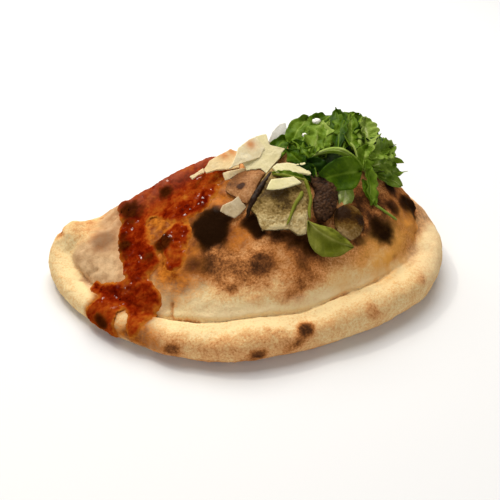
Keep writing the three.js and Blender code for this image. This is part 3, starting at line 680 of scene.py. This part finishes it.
MUSHROOMS = {
    # node: name, waves, seed, lighter or darker spots (place, reach, amount), most of them painted light
    # and shade, darkest to palest colours
    "mushroom_slice_large": (
        "mushroom_large_slice", [(9, 0.5), (1.5, 0.35)], 2.0,
        # Painted shade in the large slice's hollow middle, painted light along its lower and left edges.
        [((10, -52, 76), 15, -0.55), ((2, -76, 63), 9, 0.3), ((24, -80, 61), 9, 0.35),
         ((-6, -64, 68), 6, 0.25)],
        [(72, 52, 14), (122, 98, 48), (172, 146, 92), (216, 198, 148)],
    ),
    "mushroom_slice_left": (
        "mushroom_left_slice", [(8, 0.3), (1.6, 0.12)], 5.0,
        # A dark pit painted where a hole is, as painted shade, and painted shade under the cheese at the
        # slice's top.
        [((-11.3, -37.4, 76.3), 2.2, -0.9), ((-9.3, -36.6, 77), 1.5, -0.6), ((-12, -26, 76), 9, -0.35)],
        [(66, 34, 12), (130, 82, 42), (176, 124, 78), (208, 168, 124)],
    ),
    "mushroom_piece_dark": (
        "mushroom_dark_piece", [(7, 0.5), (1.5, 0.55)], 9.0, [((40, -50, 80), 22, -0.15)],
        [(26, 12, 4), (50, 30, 16), (76, 50, 30), (102, 74, 50)],
    ),
    "mushroom_slice_right": (
        "mushroom_right_slice", [(8, 0.25), (1.5, 0.2)], 14.0,
        # Painted shade over the top and on the right edge, painted light on the lower part.
        [((48, -76, 69), 11, -0.7), ((44, -90, 59), 9, 0.5), ((62, -80, 60), 4, -0.6)],
        [(44, 22, 0), (84, 54, 6), (124, 94, 44), (168, 140, 94)],
    ),
}  # fmt: skip
CUT_FACE = np.array((-0.2, -0.6, 0.77))  # the way the slices' cut faces look
for node, (name, waves, seed, spots, colours) in MUSHROOMS.items():
    slice_ = solid_skin(name, node, 0.55 * MM, 3)
    # The flesh's tone follows its wrinkles, and the spots paint light and shade onto it.
    pores = 0.62 + 0.5 * wrinkle(slice_, waves, seed)
    at, outwards = points_of(slice_.data)
    for spot, reach, amount in spots:
        pores += amount * bell(distance_to(in_mm(at), *spot), reach)
    paint(slice_.data, "pores", np.clip(pores, 0, 1))
    paint(slice_.data, "sideways", 1 - np.clip(np.abs(outwards @ CUT_FACE), 0, 1))
    flesh = Finish(name)
    sponge = flesh.cloud(0.0014, 3, 0.7)
    patches = flesh.cloud(0.011, 3, 0.55, 0.4)
    flesh_level = flesh.stored("pores") + (sponge - 0.5) * 0.6 + (patches - 0.5) * 0.5
    flesh_colour = flesh.ramp(flesh_level, (0.15, 0.4, 0.64, 0.9), colours)
    edge = flesh.rise(flesh.stored("sideways") + (patches - 0.5) * 0.2, 0.55, 0.85)
    flesh_colour = flesh.mix(edge * 0.8, flesh_colour, tint(44, 26, 12))
    flesh.surface(
        slice_,
        Base_Color=flesh_colour,
        Roughness=flesh.rise(patches, 0.3, 0.7, 0.34, 0.65),
        Specular_IOR_Level=0.1,
        Normal=flesh.bump(sponge, 0.0009, 0.7),
    )
    smooth_shaded(slice_)
    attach(slice_, "root")
    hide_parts(node)

# A dark, wet-looking strip lies where the left slice meets the large one: partly the slices' curled-up
# skin, partly painted shade in the gap between them.
DARK_STRIP_LINE = [(12.5, -34.5, 82), (4, -42, 80), (-8, -52, 76), (-14, -59, 65)]
dark_strip_shape = bmesh.new()
strip = bmesh.ops.create_grid(dark_strip_shape, x_segments=12, y_segments=70, size=1)["verts"]
for corner in strip:
    turn, share = corner.co.x * math.pi, (corner.co.y + 1) / 2
    spot, ahead, side, up = frame_at(DARK_STRIP_LINE, share, (-0.3, -0.5, 0.8))
    reach = (1.5 + 1.1 * share) * math.sin(math.pi * min(0.98, max(0.02, share))) ** 0.4
    corner.co = place(*(spot + side * (reach * math.cos(turn)) + up * (0.6 * reach * math.sin(turn))))
bmesh.ops.remove_doubles(dark_strip_shape, verts=dark_strip_shape.verts, dist=0.01 * MM)
bmesh.ops.recalc_face_normals(dark_strip_shape, faces=dark_strip_shape.faces)
skin_and_gap_shade = new_piece("skin_and_gap_shade_strip", dark_strip_shape)
wrinkle(skin_and_gap_shade, [(4, 0.5), (1.6, 0.25)], 23.0)
dark_strip_finish = Finish("skin_and_gap_shade")
dark_strip_cloud = dark_strip_finish.cloud(0.003, 3, 0.6, 0.5)
dark_strip_finish.surface(
    skin_and_gap_shade,
    Base_Color=dark_strip_finish.ramp(dark_strip_cloud, (0.3, 0.6, 0.8), [(24, 12, 6), (46, 28, 14), (84, 60, 38)]),
    Roughness=0.4,
    Specular_IOR_Level=0.1,
    Normal=dark_strip_finish.bump(dark_strip_cloud, 0.0008, 0.5),
)
smooth_shaded(skin_and_gap_shade)
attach(skin_and_gap_shade, "root")

# ---- Cheese shavings ----
# Thin shavings of hard, aged cheese, cut with a peeler: waxy, slightly curled, and crumbly along the edges.

# Each shaving's darkest, middle and palest colour. Shaving 7's near-white colours are painted light, on a
# shaving that stands in shade.
CHEESES = {
    1: [(182, 154, 112), (212, 190, 150), (230, 214, 182)],
    2: [(226, 220, 156), (242, 234, 178), (252, 246, 208)],
    3: [(222, 216, 152), (240, 232, 180), (250, 244, 206)],
    4: [(228, 204, 148), (242, 222, 176), (250, 238, 204)],
    5: [(228, 204, 148), (242, 222, 176), (250, 238, 204)],
    6: [(206, 196, 142), (222, 212, 166), (236, 228, 188)],
    7: [(238, 238, 230), (248, 248, 242), (254, 254, 250)],
    8: [(216, 190, 132), (232, 208, 156), (242, 224, 182)],
    9: [(238, 214, 160), (248, 234, 192), (253, 246, 220)],
}
# Where sauce has touched the shavings: x, y, z, reach.
STAINS = [(-13, -4, 83, 4.5), (-6, -2, 84, 4), (5, -12, 94, 4)]
for number, colours in CHEESES.items():
    node = f"cheese_shaving_{number}"
    shaving = solid_skin(f"cheese_flake_{number}", node, 0.42 * MM, 1)
    wrinkle(shaving, [(7, 0.3), (1.5, 0.07)], 30 + number)
    skin = in_mm(points_of(shaving.data)[0])
    stains = [bell(distance_to(skin, x, y, z), reach) for x, y, z, reach in STAINS]
    paint(shaving.data, "stained", np.max(stains, axis=0))
    wax = Finish(f"hard_cheese_{number}")
    streaks = wax.cloud(0.008, 3, 0.5, 1.2)
    crumbs = wax.cloud(0.0013, 3, 0.65)
    wax_colour = wax.ramp(streaks * 0.6 + crumbs * 0.4, (0.25, 0.5, 0.75), colours)
    wax_colour = wax.mix(wax.stored("stained") * (0.4 + 0.8 * streaks), wax_colour, tint(214, 128, 52))
    waxy = wax.bump(crumbs, 0.0005, 0.5)
    wax.surface(shaving, Base_Color=wax_colour, Roughness=0.5, Specular_IOR_Level=0.25, Normal=waxy)
    smooth_shaded(shaving)
    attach(shaving, "root")
    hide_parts(node)

# A few crumbs of the same cheese have rolled onto the leaves.
crumb_shape = bmesh.new()
for x, y, z, wide in [(61, -2, 99, 3.0), (46, -14, 96, 1.7), (70, 12, 97, 1.5), (93, 4, 95, 1.8)]:
    crumb = bmesh.ops.create_icosphere(crumb_shape, subdivisions=4, radius=wide * MM)["verts"]
    bmesh.ops.scale(crumb_shape, vec=(1.1, 0.9, 0.7), verts=crumb)
    bmesh.ops.translate(crumb_shape, vec=place(x, y, z), verts=crumb)
cheese_crumbs = new_piece("cheese_crumbs", crumb_shape)
wrinkle(cheese_crumbs, [(3, 0.9), (1, 0.25)], 51.0)
# They share shaving 7's near-white finish, which is painted light.
cheese_crumbs.data.materials.append(bpy.data.materials["hard_cheese_7"])
smooth_shaded(cheese_crumbs)
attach(cheese_crumbs, "root")

# ---- Rocket ----
# A heap of fresh rocket piled on the right half of the calzone: limp, crumpled leaves with round or toothed
# lobes, a pale midrib and a thin stalk. A lumpy core of packed leaves carries them.

# The core's dark green is painted shade deep in the heap.
core_shape = bmesh.new()
bmesh.ops.create_icosphere(core_shape, subdivisions=5, radius=1.0)
CORE_REACH = Vector((39, 23, 24)) * MM  # from its middle, along each axis
bmesh.ops.scale(core_shape, vec=CORE_REACH, verts=core_shape.verts)
bmesh.ops.translate(core_shape, vec=place(80, -11, 68), verts=core_shape.verts)
core = new_piece("rocket_core", core_shape)
at, outwards = points_of(core.data)
dent = 3.0 * rough(at, 11 * MM, 2, 41.0) + 2.2 * rough(at, 4 * MM, 2, 43.0)
move_points(core.data, at + outwards * (dent * MM)[:, None])
core_finish = Finish("packed_leaves")
core_cloud = core_finish.cloud(0.009, 3, 0.6, 1.0)
core_finish.surface(
    core,
    Base_Color=core_finish.ramp(core_cloud, (0.3, 0.7), [(16, 34, 0), (54, 88, 8)]),
    Roughness=0.6,
    Normal=core_finish.bump(core_finish.cloud(0.003, 3, 0.6), 0.001, 0.6),
)
smooth_shaded(core)
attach(core, "root")
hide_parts("rocket_heap")


def leaf_outline(share, form, shift):
    """A leaf's width at a share of its length, where 1 is the widest. The shift moves its lobes along."""
    if form == "round":
        return math.sin(math.pi * share**0.85) ** 0.55
    if form == "broad":
        return min(1, 1.9 * share) ** 0.8 * (1 - share**3.2) ** 0.8
    body = (0.1 + 0.9 * math.sin(math.pi * min(1, 0.06 + share) ** 1.4)) ** 0.7
    tip = min(1, 7 * (1 - share)) ** 0.6
    lobes, depth = (5.5, 0.13) if form == "frilly" else (2.9, 0.23)
    return body * tip * (1 - depth + depth * math.cos(2 * math.pi * (lobes * share + shift)))


VEINS = 5.5  # side veins on each half of a leaf


def grow_leaf(shape, controls, facing, width, form, cupped, wavy, tone, seed, lines=34, lean=0.0):
    """Adds one leaf blade to a bmesh, from its root to its tip, with a width in millimetres.

    Cupped bends its edges up, wavy ruffles them, tone is from dark to pale, and lean widens its right half.
    """
    blade = bmesh.ops.create_grid(shape, x_segments=14, y_segments=lines, size=1)["verts"]
    tone_layer = shape.verts.layers.float["tone"]
    vein_layer = shape.verts.layers.float["vein"]
    for corner in blade:
        across, share = corner.co.x, (corner.co.y + 1) / 2
        right = across > 0
        spot, ahead, side, up = frame_at(controls, share, facing)
        half = 0.5 * width * max(0.03, leaf_outline(share, form, 0.08 * math.sin(seed + 2.0 * right)))
        sway = noise.noise(Vector((seed, share * 2.2, 5.0 if right else 9.0)))
        half *= (1 + 0.25 * sway) * (1 + lean if right else 1 - lean)
        edge = abs(across) ** 1.6
        ruffle = noise.noise(Vector((seed * 3, share * 7.0, 2.0 if right else 6.0))) * 1.6
        crumple = noise.noise(Vector((across * 1.4 + seed, share * 3.4, seed * 2)))
        pucker = noise.noise(Vector((across * 4.0 + seed, share * 9.0, seed * 2)))
        lift = width * (cupped * edge + wavy * edge * ruffle + 0.14 * crumple + 0.035 * pucker)
        # The blade bulges a little between its side veins and sinks along its midrib.
        between = abs(math.sin(math.pi * (share * VEINS - 1.3 * abs(across))))
        lift += width * 0.018 * (between - 0.5) * min(1, 6 * abs(across))
        lift -= width * 0.025 * math.exp(-((across / 0.07) ** 2))
        inwards = 1 - 0.18 * abs(cupped) * abs(across)
        corner.co = spot * MM + (side * (half * across * inwards) + up * lift) * MM + TIPS
        corner[tone_layer] = tone + 0.14 * sway + 0.12 * crumple
        corner[vein_layer] = max(math.exp(-((across / 0.06) ** 2)), 0.4 * (1 - min(1, between * 4)))


def grow_stalk(shape, controls, thick, thin, tone, bend=0.0, seed=0.0, lines=18):
    """Adds a tube along the curve, from thick to thin and wandering by a bend, all in millimetres."""
    tube = bmesh.ops.create_grid(shape, x_segments=8, y_segments=lines, size=1)["verts"]
    tone_layer = shape.verts.layers.float["tone"]
    vein_layer = shape.verts.layers.float["vein"]
    for corner in tube:
        turn, share = corner.co.x * math.pi, (corner.co.y + 1) / 2
        spot, ahead, side, up = frame_at(controls, share, (0.1, 0.2, 1))
        radius = 0.5 * (thick + (thin - thick) * share)
        radius *= math.sin(math.pi * min(1, 0.03 + 8 * min(share, 1 - share)) / 2)
        spot = spot + side * (bend * noise.noise(Vector((seed, share * 3, 0))))
        corner.co = (spot + side * (radius * math.cos(turn)) + up * (radius * math.sin(turn))) * MM + TIPS
        corner[tone_layer] = tone
        corner[vein_layer] = 0.2
    bmesh.ops.remove_doubles(shape, verts=tube, dist=0.01 * MM)


BLADE = 0.35 * MM


def leafy(name, grown, node, finish):
    """Finishes a set of leaves as one piece: a thin solid blade for each."""
    bmesh.ops.recalc_face_normals(grown, faces=grown.faces)
    piece = new_piece(name, grown)
    blade = piece.modifiers.new("blade", "SOLIDIFY")
    blade.thickness = BLADE
    blade.offset = 0
    apply_modifiers(piece)
    smooth_shaded(piece)
    piece.data.materials.append(finish)
    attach(piece, "root")
    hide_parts(node)


def leaf_bmesh():
    shape = bmesh.new()
    shape.verts.layers.float.new("tone")
    shape.verts.layers.float.new("vein")
    return shape


def leaf_finish(name, colours):
    """The finish of leaves, from the colours of their darkest to palest parts."""
    green = Finish(name)
    patches = green.cloud(0.01, 3, 0.6, 0.6)
    cells = green.cloud(0.0012, 2, 0.6)
    shade = green.stored("tone") + (patches - 0.5) * 0.34 + (cells - 0.5) * 0.16
    colour = green.ramp(shade + green.stored("vein") * 0.22, (0.05, 0.3, 0.5, 0.7, 0.9, 1), colours)
    relief = green.bump(cells, 0.0003, 0.5, green.bump(patches, 0.001, 0.5))
    return green.surface(Base_Color=colour, Roughness=0.5, Specular_IOR_Level=0.08, Normal=relief)


FRESH = [(10, 30, 0), (34, 66, 0), (76, 106, 4), (114, 142, 40), (158, 178, 90), (194, 206, 142)]
WILTED = [(34, 42, 0), (66, 78, 4), (104, 112, 22), (136, 140, 56), (176, 178, 104), (206, 206, 150)]
fresh_leaf = leaf_finish("rocket_leaf", FRESH)
wilted_leaf = leaf_finish("wilted_rocket", WILTED)
heap_shape = leaf_bmesh()
# The leaves on the front of the heap: controls, facing, width, form, cupped, wavy, tone.
HEAP_FRONT = [
    ([(37, -12, 88), (45, -2, 94), (58, 6, 98)], (-0.4, -0.5, 0.8), 17, "round", 0.1, 0.08, 0.42),
    ([(39, -24, 89), (47, -10, 94), (60, 4, 97)], (-0.4, -0.5, 0.8), 20, "lobed", -0.1, 0.1, 0.36),
    ([(45, -30, 88), (55, -18, 95), (66, -2, 96)], (-0.2, -0.6, 0.8), 24, "lobed", 0.1, 0.1, 0.6),
    ([(53, -31, 91), (63, -18, 96), (72, -2, 98)], (0.1, -0.6, 0.8), 18, "frilly", -0.1, 0.12, 0.5),
    ([(65, -33, 89), (76, -12, 98.5), (83.5, 10, 100)], (-0.5, -0.7, 0.5), 15, "frilly", 0.15, 0.06, 0.2),
    ([(68, -34, 90), (80, -14, 94), (84, -2, 100)], (-0.1, -0.7, 0.6), 14, "frilly", -0.1, 0.1, 0.34),
    ([(75, -35, 89), (84, -16, 94), (89, -2, 99)], (0.0, -0.7, 0.7), 16, "round", 0.15, 0.08, 0.48),
    ([(83, -33, 88), (95, -16, 92), (99, -3, 97)], (0.2, -0.6, 0.8), 19, "frilly", -0.2, 0.16, 0.58),
    ([(88, -33, 87), (96, -19, 93), (99, -6, 96)], (0.2, -0.6, 0.8), 18, "frilly", 0.25, 0.18, 0.66),
    ([(93, -34, 83), (103, -21, 88), (106, -9, 91)], (0.4, -0.6, 0.7), 18, "frilly", -0.2, 0.2, 0.56),
    ([(85, -42, 85), (101, -35, 85), (114, -25, 79)], (0.1, -0.7, 0.7), 20, "frilly", 0.2, 0.16, 0.56),
    ([(87, -44, 84), (105, -36, 82), (117, -27, 76)], (0.3, -0.7, 0.6), 18, "round", -0.2, 0.14, 0.5),
    ([(87, -45, 79), (101, -40, 78), (114, -34, 70)], (0.2, -0.8, 0.5), 18, "frilly", 0.2, 0.16, 0.5),
    ([(82, -46, 76), (103, -42, 70), (121, -35, 62)], (0.1, -0.8, 0.6), 16, "frilly", 0.1, 0.16, 0.56),
    ([(92, -45, 70), (108, -44, 64), (117, -42, 54)], (0.2, -0.8, 0.5), 10, "round", 0.1, 0.06, 0.54),
    ([(46, -36, 81), (42, -24, 85), (37, -10, 89)], (-0.5, -0.7, 0.5), 19, "round", 0.1, 0.08, 0.24),
    ([(39, -42, 82), (34, -32, 87), (30, -18, 89)], (-0.5, -0.6, 0.6), 13, "lobed", 0.1, 0.1, 0.28),
    ([(47, -38, 81), (41, -33, 88), (39, -22, 92)], (-0.4, -0.7, 0.6), 18, "lobed", -0.1, 0.08, 0.34),
    # These two low leaves are painted dark as the shade in the gaps between the leaves.
    ([(40, -48, 77), (35, -44, 83), (30, -38, 86)], (-0.3, -0.7, 0.6), 15, "lobed", 0.1, 0.1, 0.1),
    ([(50, -48, 76), (45, -42, 83), (40, -34, 86)], (-0.3, -0.7, 0.6), 16, "round", 0.1, 0.06, 0.08),
    ([(43, -32, 86), (56, -37, 99), (70, -42, 95), (80, -51, 77)],
     (-0.2, -0.7, 0.6), 6.5, "broad", -0.2, 0.06, 0.64),
    ([(72, -54, 82.5), (58, -55, 84.5), (44, -47, 76.5)], (-0.2, -0.8, 0.5), 22, "round", 0.12, 0.04, 0.27),
    ([(86, -12, 91), (93, -3, 94.5), (100, 3, 95.8)], (-0.1, -0.6, 0.8), 18, "round", 0.1, 0.08, 0.4),
    ([(81, -44, 84), (83, -56, 73), (76, -67, 61)], (0.2, -0.8, 0.5), 12, "frilly", 0.15, 0.1, 0.44),
    ([(63, -49, 77), (61, -61, 71), (53, -67, 62)], (-0.2, -0.8, 0.5), 14, "broad", 0.05, 0.06, 0.74),
    ([(12, -38, 82.5), (22, -44, 85), (32, -49, 82)], (-0.2, -0.6, 0.8), 6, "frilly", 0.2, 0.2, 0.5),
    ([(17, -20, 82), (24, -12, 86), (36, -4, 90)], (-0.4, -0.6, 0.7), 15, "round", 0.1, 0.08, 0.3),
    ([(70, -20, 95), (82, -8, 99.5), (96, 2, 99)], (0.1, -0.6, 0.8), 18, "frilly", -0.1, 0.12, 0.42),
    ([(37, -47, 79), (31, -40, 84), (26, -32, 85)], (-0.3, -0.7, 0.6), 10, "lobed", 0.1, 0.08, 0.18),
    ([(54, -6, 91), (66, 3, 94.5), (80, 11, 94)], (0.0, -0.5, 0.9), 18, "round", 0.1, 0.1, 0.34),
    ([(78, -48, 79), (82, -42, 86), (88, -33, 88.5)], (0.0, -0.75, 0.65), 15, "round", 0.12, 0.1, 0.46),
]  # fmt: skip
for number, (controls, facing, width, form, cupped, wavy, tone) in enumerate(HEAP_FRONT):
    grow_leaf(heap_shape, controls, facing, width, form, cupped, wavy, 0.12 + tone, 1.37 * number)
# The rest of the heap's leaves lie every way over its top, back and sides.
draw = random.Random(11)
heap_middle = Vector((80, -9, 60))
SPREAD, GOLDEN_ANGLE = 84, 2.39996  # leaves that would cover the whole heap evenly, each turned by an angle
for number in range(SPREAD):
    turn, lift = GOLDEN_ANGLE * number, math.asin((number + 0.5) / SPREAD)
    outwards = Vector((math.cos(turn) * math.cos(lift), math.sin(turn) * math.cos(lift), math.sin(lift)))
    if outwards.y < -0.45:  # the front is covered
        continue
    root = heap_middle + Vector((outwards.x * 38, outwards.y * 25, outwards.z * 32))
    heading = draw.uniform(0, 2 * math.pi)
    across = outwards.orthogonal().normalized()
    ahead = (across * math.cos(heading) + outwards.cross(across) * math.sin(heading)).normalized()
    length, width = draw.uniform(20, 30), draw.uniform(14, 21)
    controls = [
        root - ahead * length * 0.5 - outwards * 2,
        root + outwards * draw.uniform(4, 7),
        root + ahead * length * 0.5 - outwards * 3,
    ]
    form = draw.choice(["lobed", "frilly", "frilly", "round"])
    cupped, wavy, tone = draw.uniform(-0.2, 0.25), draw.uniform(0.05, 0.2), draw.uniform(0.3, 0.7)
    grow_leaf(heap_shape, controls, outwards, width, form, cupped, wavy, tone, 40 + 1.71 * number, lines=20)
grow_stalk(heap_shape, [(75, -31, 93), (77, -38, 92), (75, -45, 83)], 1.5, 1.2, 0.85)
grow_stalk(heap_shape, [(45, -34, 84), (43, -43, 82), (42, -48, 79)], 1.1, 0.9, 0.6)
leafy("rocket_leaves", heap_shape, "rocket_heap", fresh_leaf)

# The leaves and stalks that lie apart from the heap.
front_shape = leaf_bmesh()
front_line = [(22.5, -78, 67.5), (28, -88, 60.5), (38, -93, 57), (49, -96, 52)]
grow_leaf(front_shape, front_line, (-0.25, -0.75, 0.65), 24, "broad", -0.05, 0.04, 0.58, 3.0, lean=0.35)
leafy("rocket_front_leaf", front_shape, "rocket_leaf_front", wilted_leaf)
stalk_shape = leaf_bmesh()
twisted_line = [(31, -51, 83), (32, -61, 78), (28, -68, 74), (24, -78, 68)]
grow_stalk(stalk_shape, twisted_line, 2.4, 1.8, 0.5, bend=2.0, seed=2.0, lines=30)
upper_line = [(12, -38, 82.8), (20, -46, 85), (33, -53, 81.5)]
grow_stalk(stalk_shape, upper_line, 1.5, 1.4, 0.55, bend=1.0, seed=6.0)
leafy("rocket_front_stalk", stalk_shape, "rocket_stalk_front", wilted_leaf)
strip_shape = leaf_bmesh()
strip_line = [(27, -57, 77), (17, -67, 73.5), (8, -76.5, 66)]
grow_stalk(strip_shape, strip_line, 3.2, 1.2, 0.55, bend=1.6, seed=4.0, lines=30)
leafy("rocket_slice_stalk", strip_shape, "rocket_stalk_slice", wilted_leaf)
right_shape = leaf_bmesh()
right_line = [(77, -50, 72), (79, -60, 69), (80, -67, 60)]
grow_leaf(right_shape, right_line, (0.2, -0.8, 0.6), 13, "broad", 0.1, 0.06, 0.5, 8.0)
grow_stalk(right_shape, [(79.5, -66, 61), (87, -71.5, 56), (95, -75, 49.5)], 1.6, 1.5, 0.72)
leafy("rocket_right_leaf", right_shape, "rocket_leaf_right", fresh_leaf)

# ---- Studio ----
# A pale table, a large soft light overhead and a weaker one in front.

floor_shape = bmesh.new()
bmesh.ops.create_grid(floor_shape, x_segments=1, y_segments=1, size=4)
floor = new_piece("floor", floor_shape)
floor_finish = Finish("pale_table")
floor_finish.surface(floor, Base_Color=tint(237, 241, 247), Roughness=0.9)

AIM = place(0, 15, 30)


def look_at_food(viewer, azimuth, elevation, distance):
    """Places a light or camera by its angles in degrees, from the front, and its distance in metres."""
    turn, lift = math.radians(azimuth), math.radians(elevation)
    back = Vector((math.sin(turn) * math.cos(lift), -math.cos(turn) * math.cos(lift), math.sin(lift)))
    viewer.location = AIM + back * distance
    viewer.rotation_euler = back.to_track_quat("Z", "Y").to_euler()
    bpy.context.scene.collection.objects.link(viewer)


def soft_light(name, azimuth, elevation, distance, size, power, colour=(1, 0.95, 0.88)):
    """A square area light, with its power in watts."""
    lamp = bpy.data.lights.new(name, "AREA")
    lamp.size = size
    lamp.energy = power
    lamp.color = colour
    look_at_food(bpy.data.objects.new(name, lamp), azimuth, elevation, distance)


soft_light("overhead", 175, 62, 1.5, 1.4, 30.0)
soft_light("front", -40, 26, 1.3, 0.5, 3.1)
soft_light("right", 65, 22, 1.4, 0.6, 1.4)
soft_light("spark", -150, 60, 1.1, 0.04, 2.2, (1, 0.9, 0.74))
world = bpy.data.worlds.new("room")
bpy.context.scene.world = world
world.use_nodes = True
room = world.node_tree.nodes["Background"].inputs
room["Color"].default_value = (1, 0.93, 0.84, 1)
room["Strength"].default_value = 0.15
bpy.context.scene.view_settings.view_transform = "Standard"

camera_data = bpy.data.cameras.new("camera")
camera_data.sensor_width = 36
camera_data.lens = 42.27
camera_data.shift_x = 0.0346
camera_data.shift_y = -0.1025
camera_data.clip_start = 0.01
camera = bpy.data.objects.new("camera", camera_data)
look_at_food(camera, -18, 34, 0.48)
bpy.context.scene.camera = camera
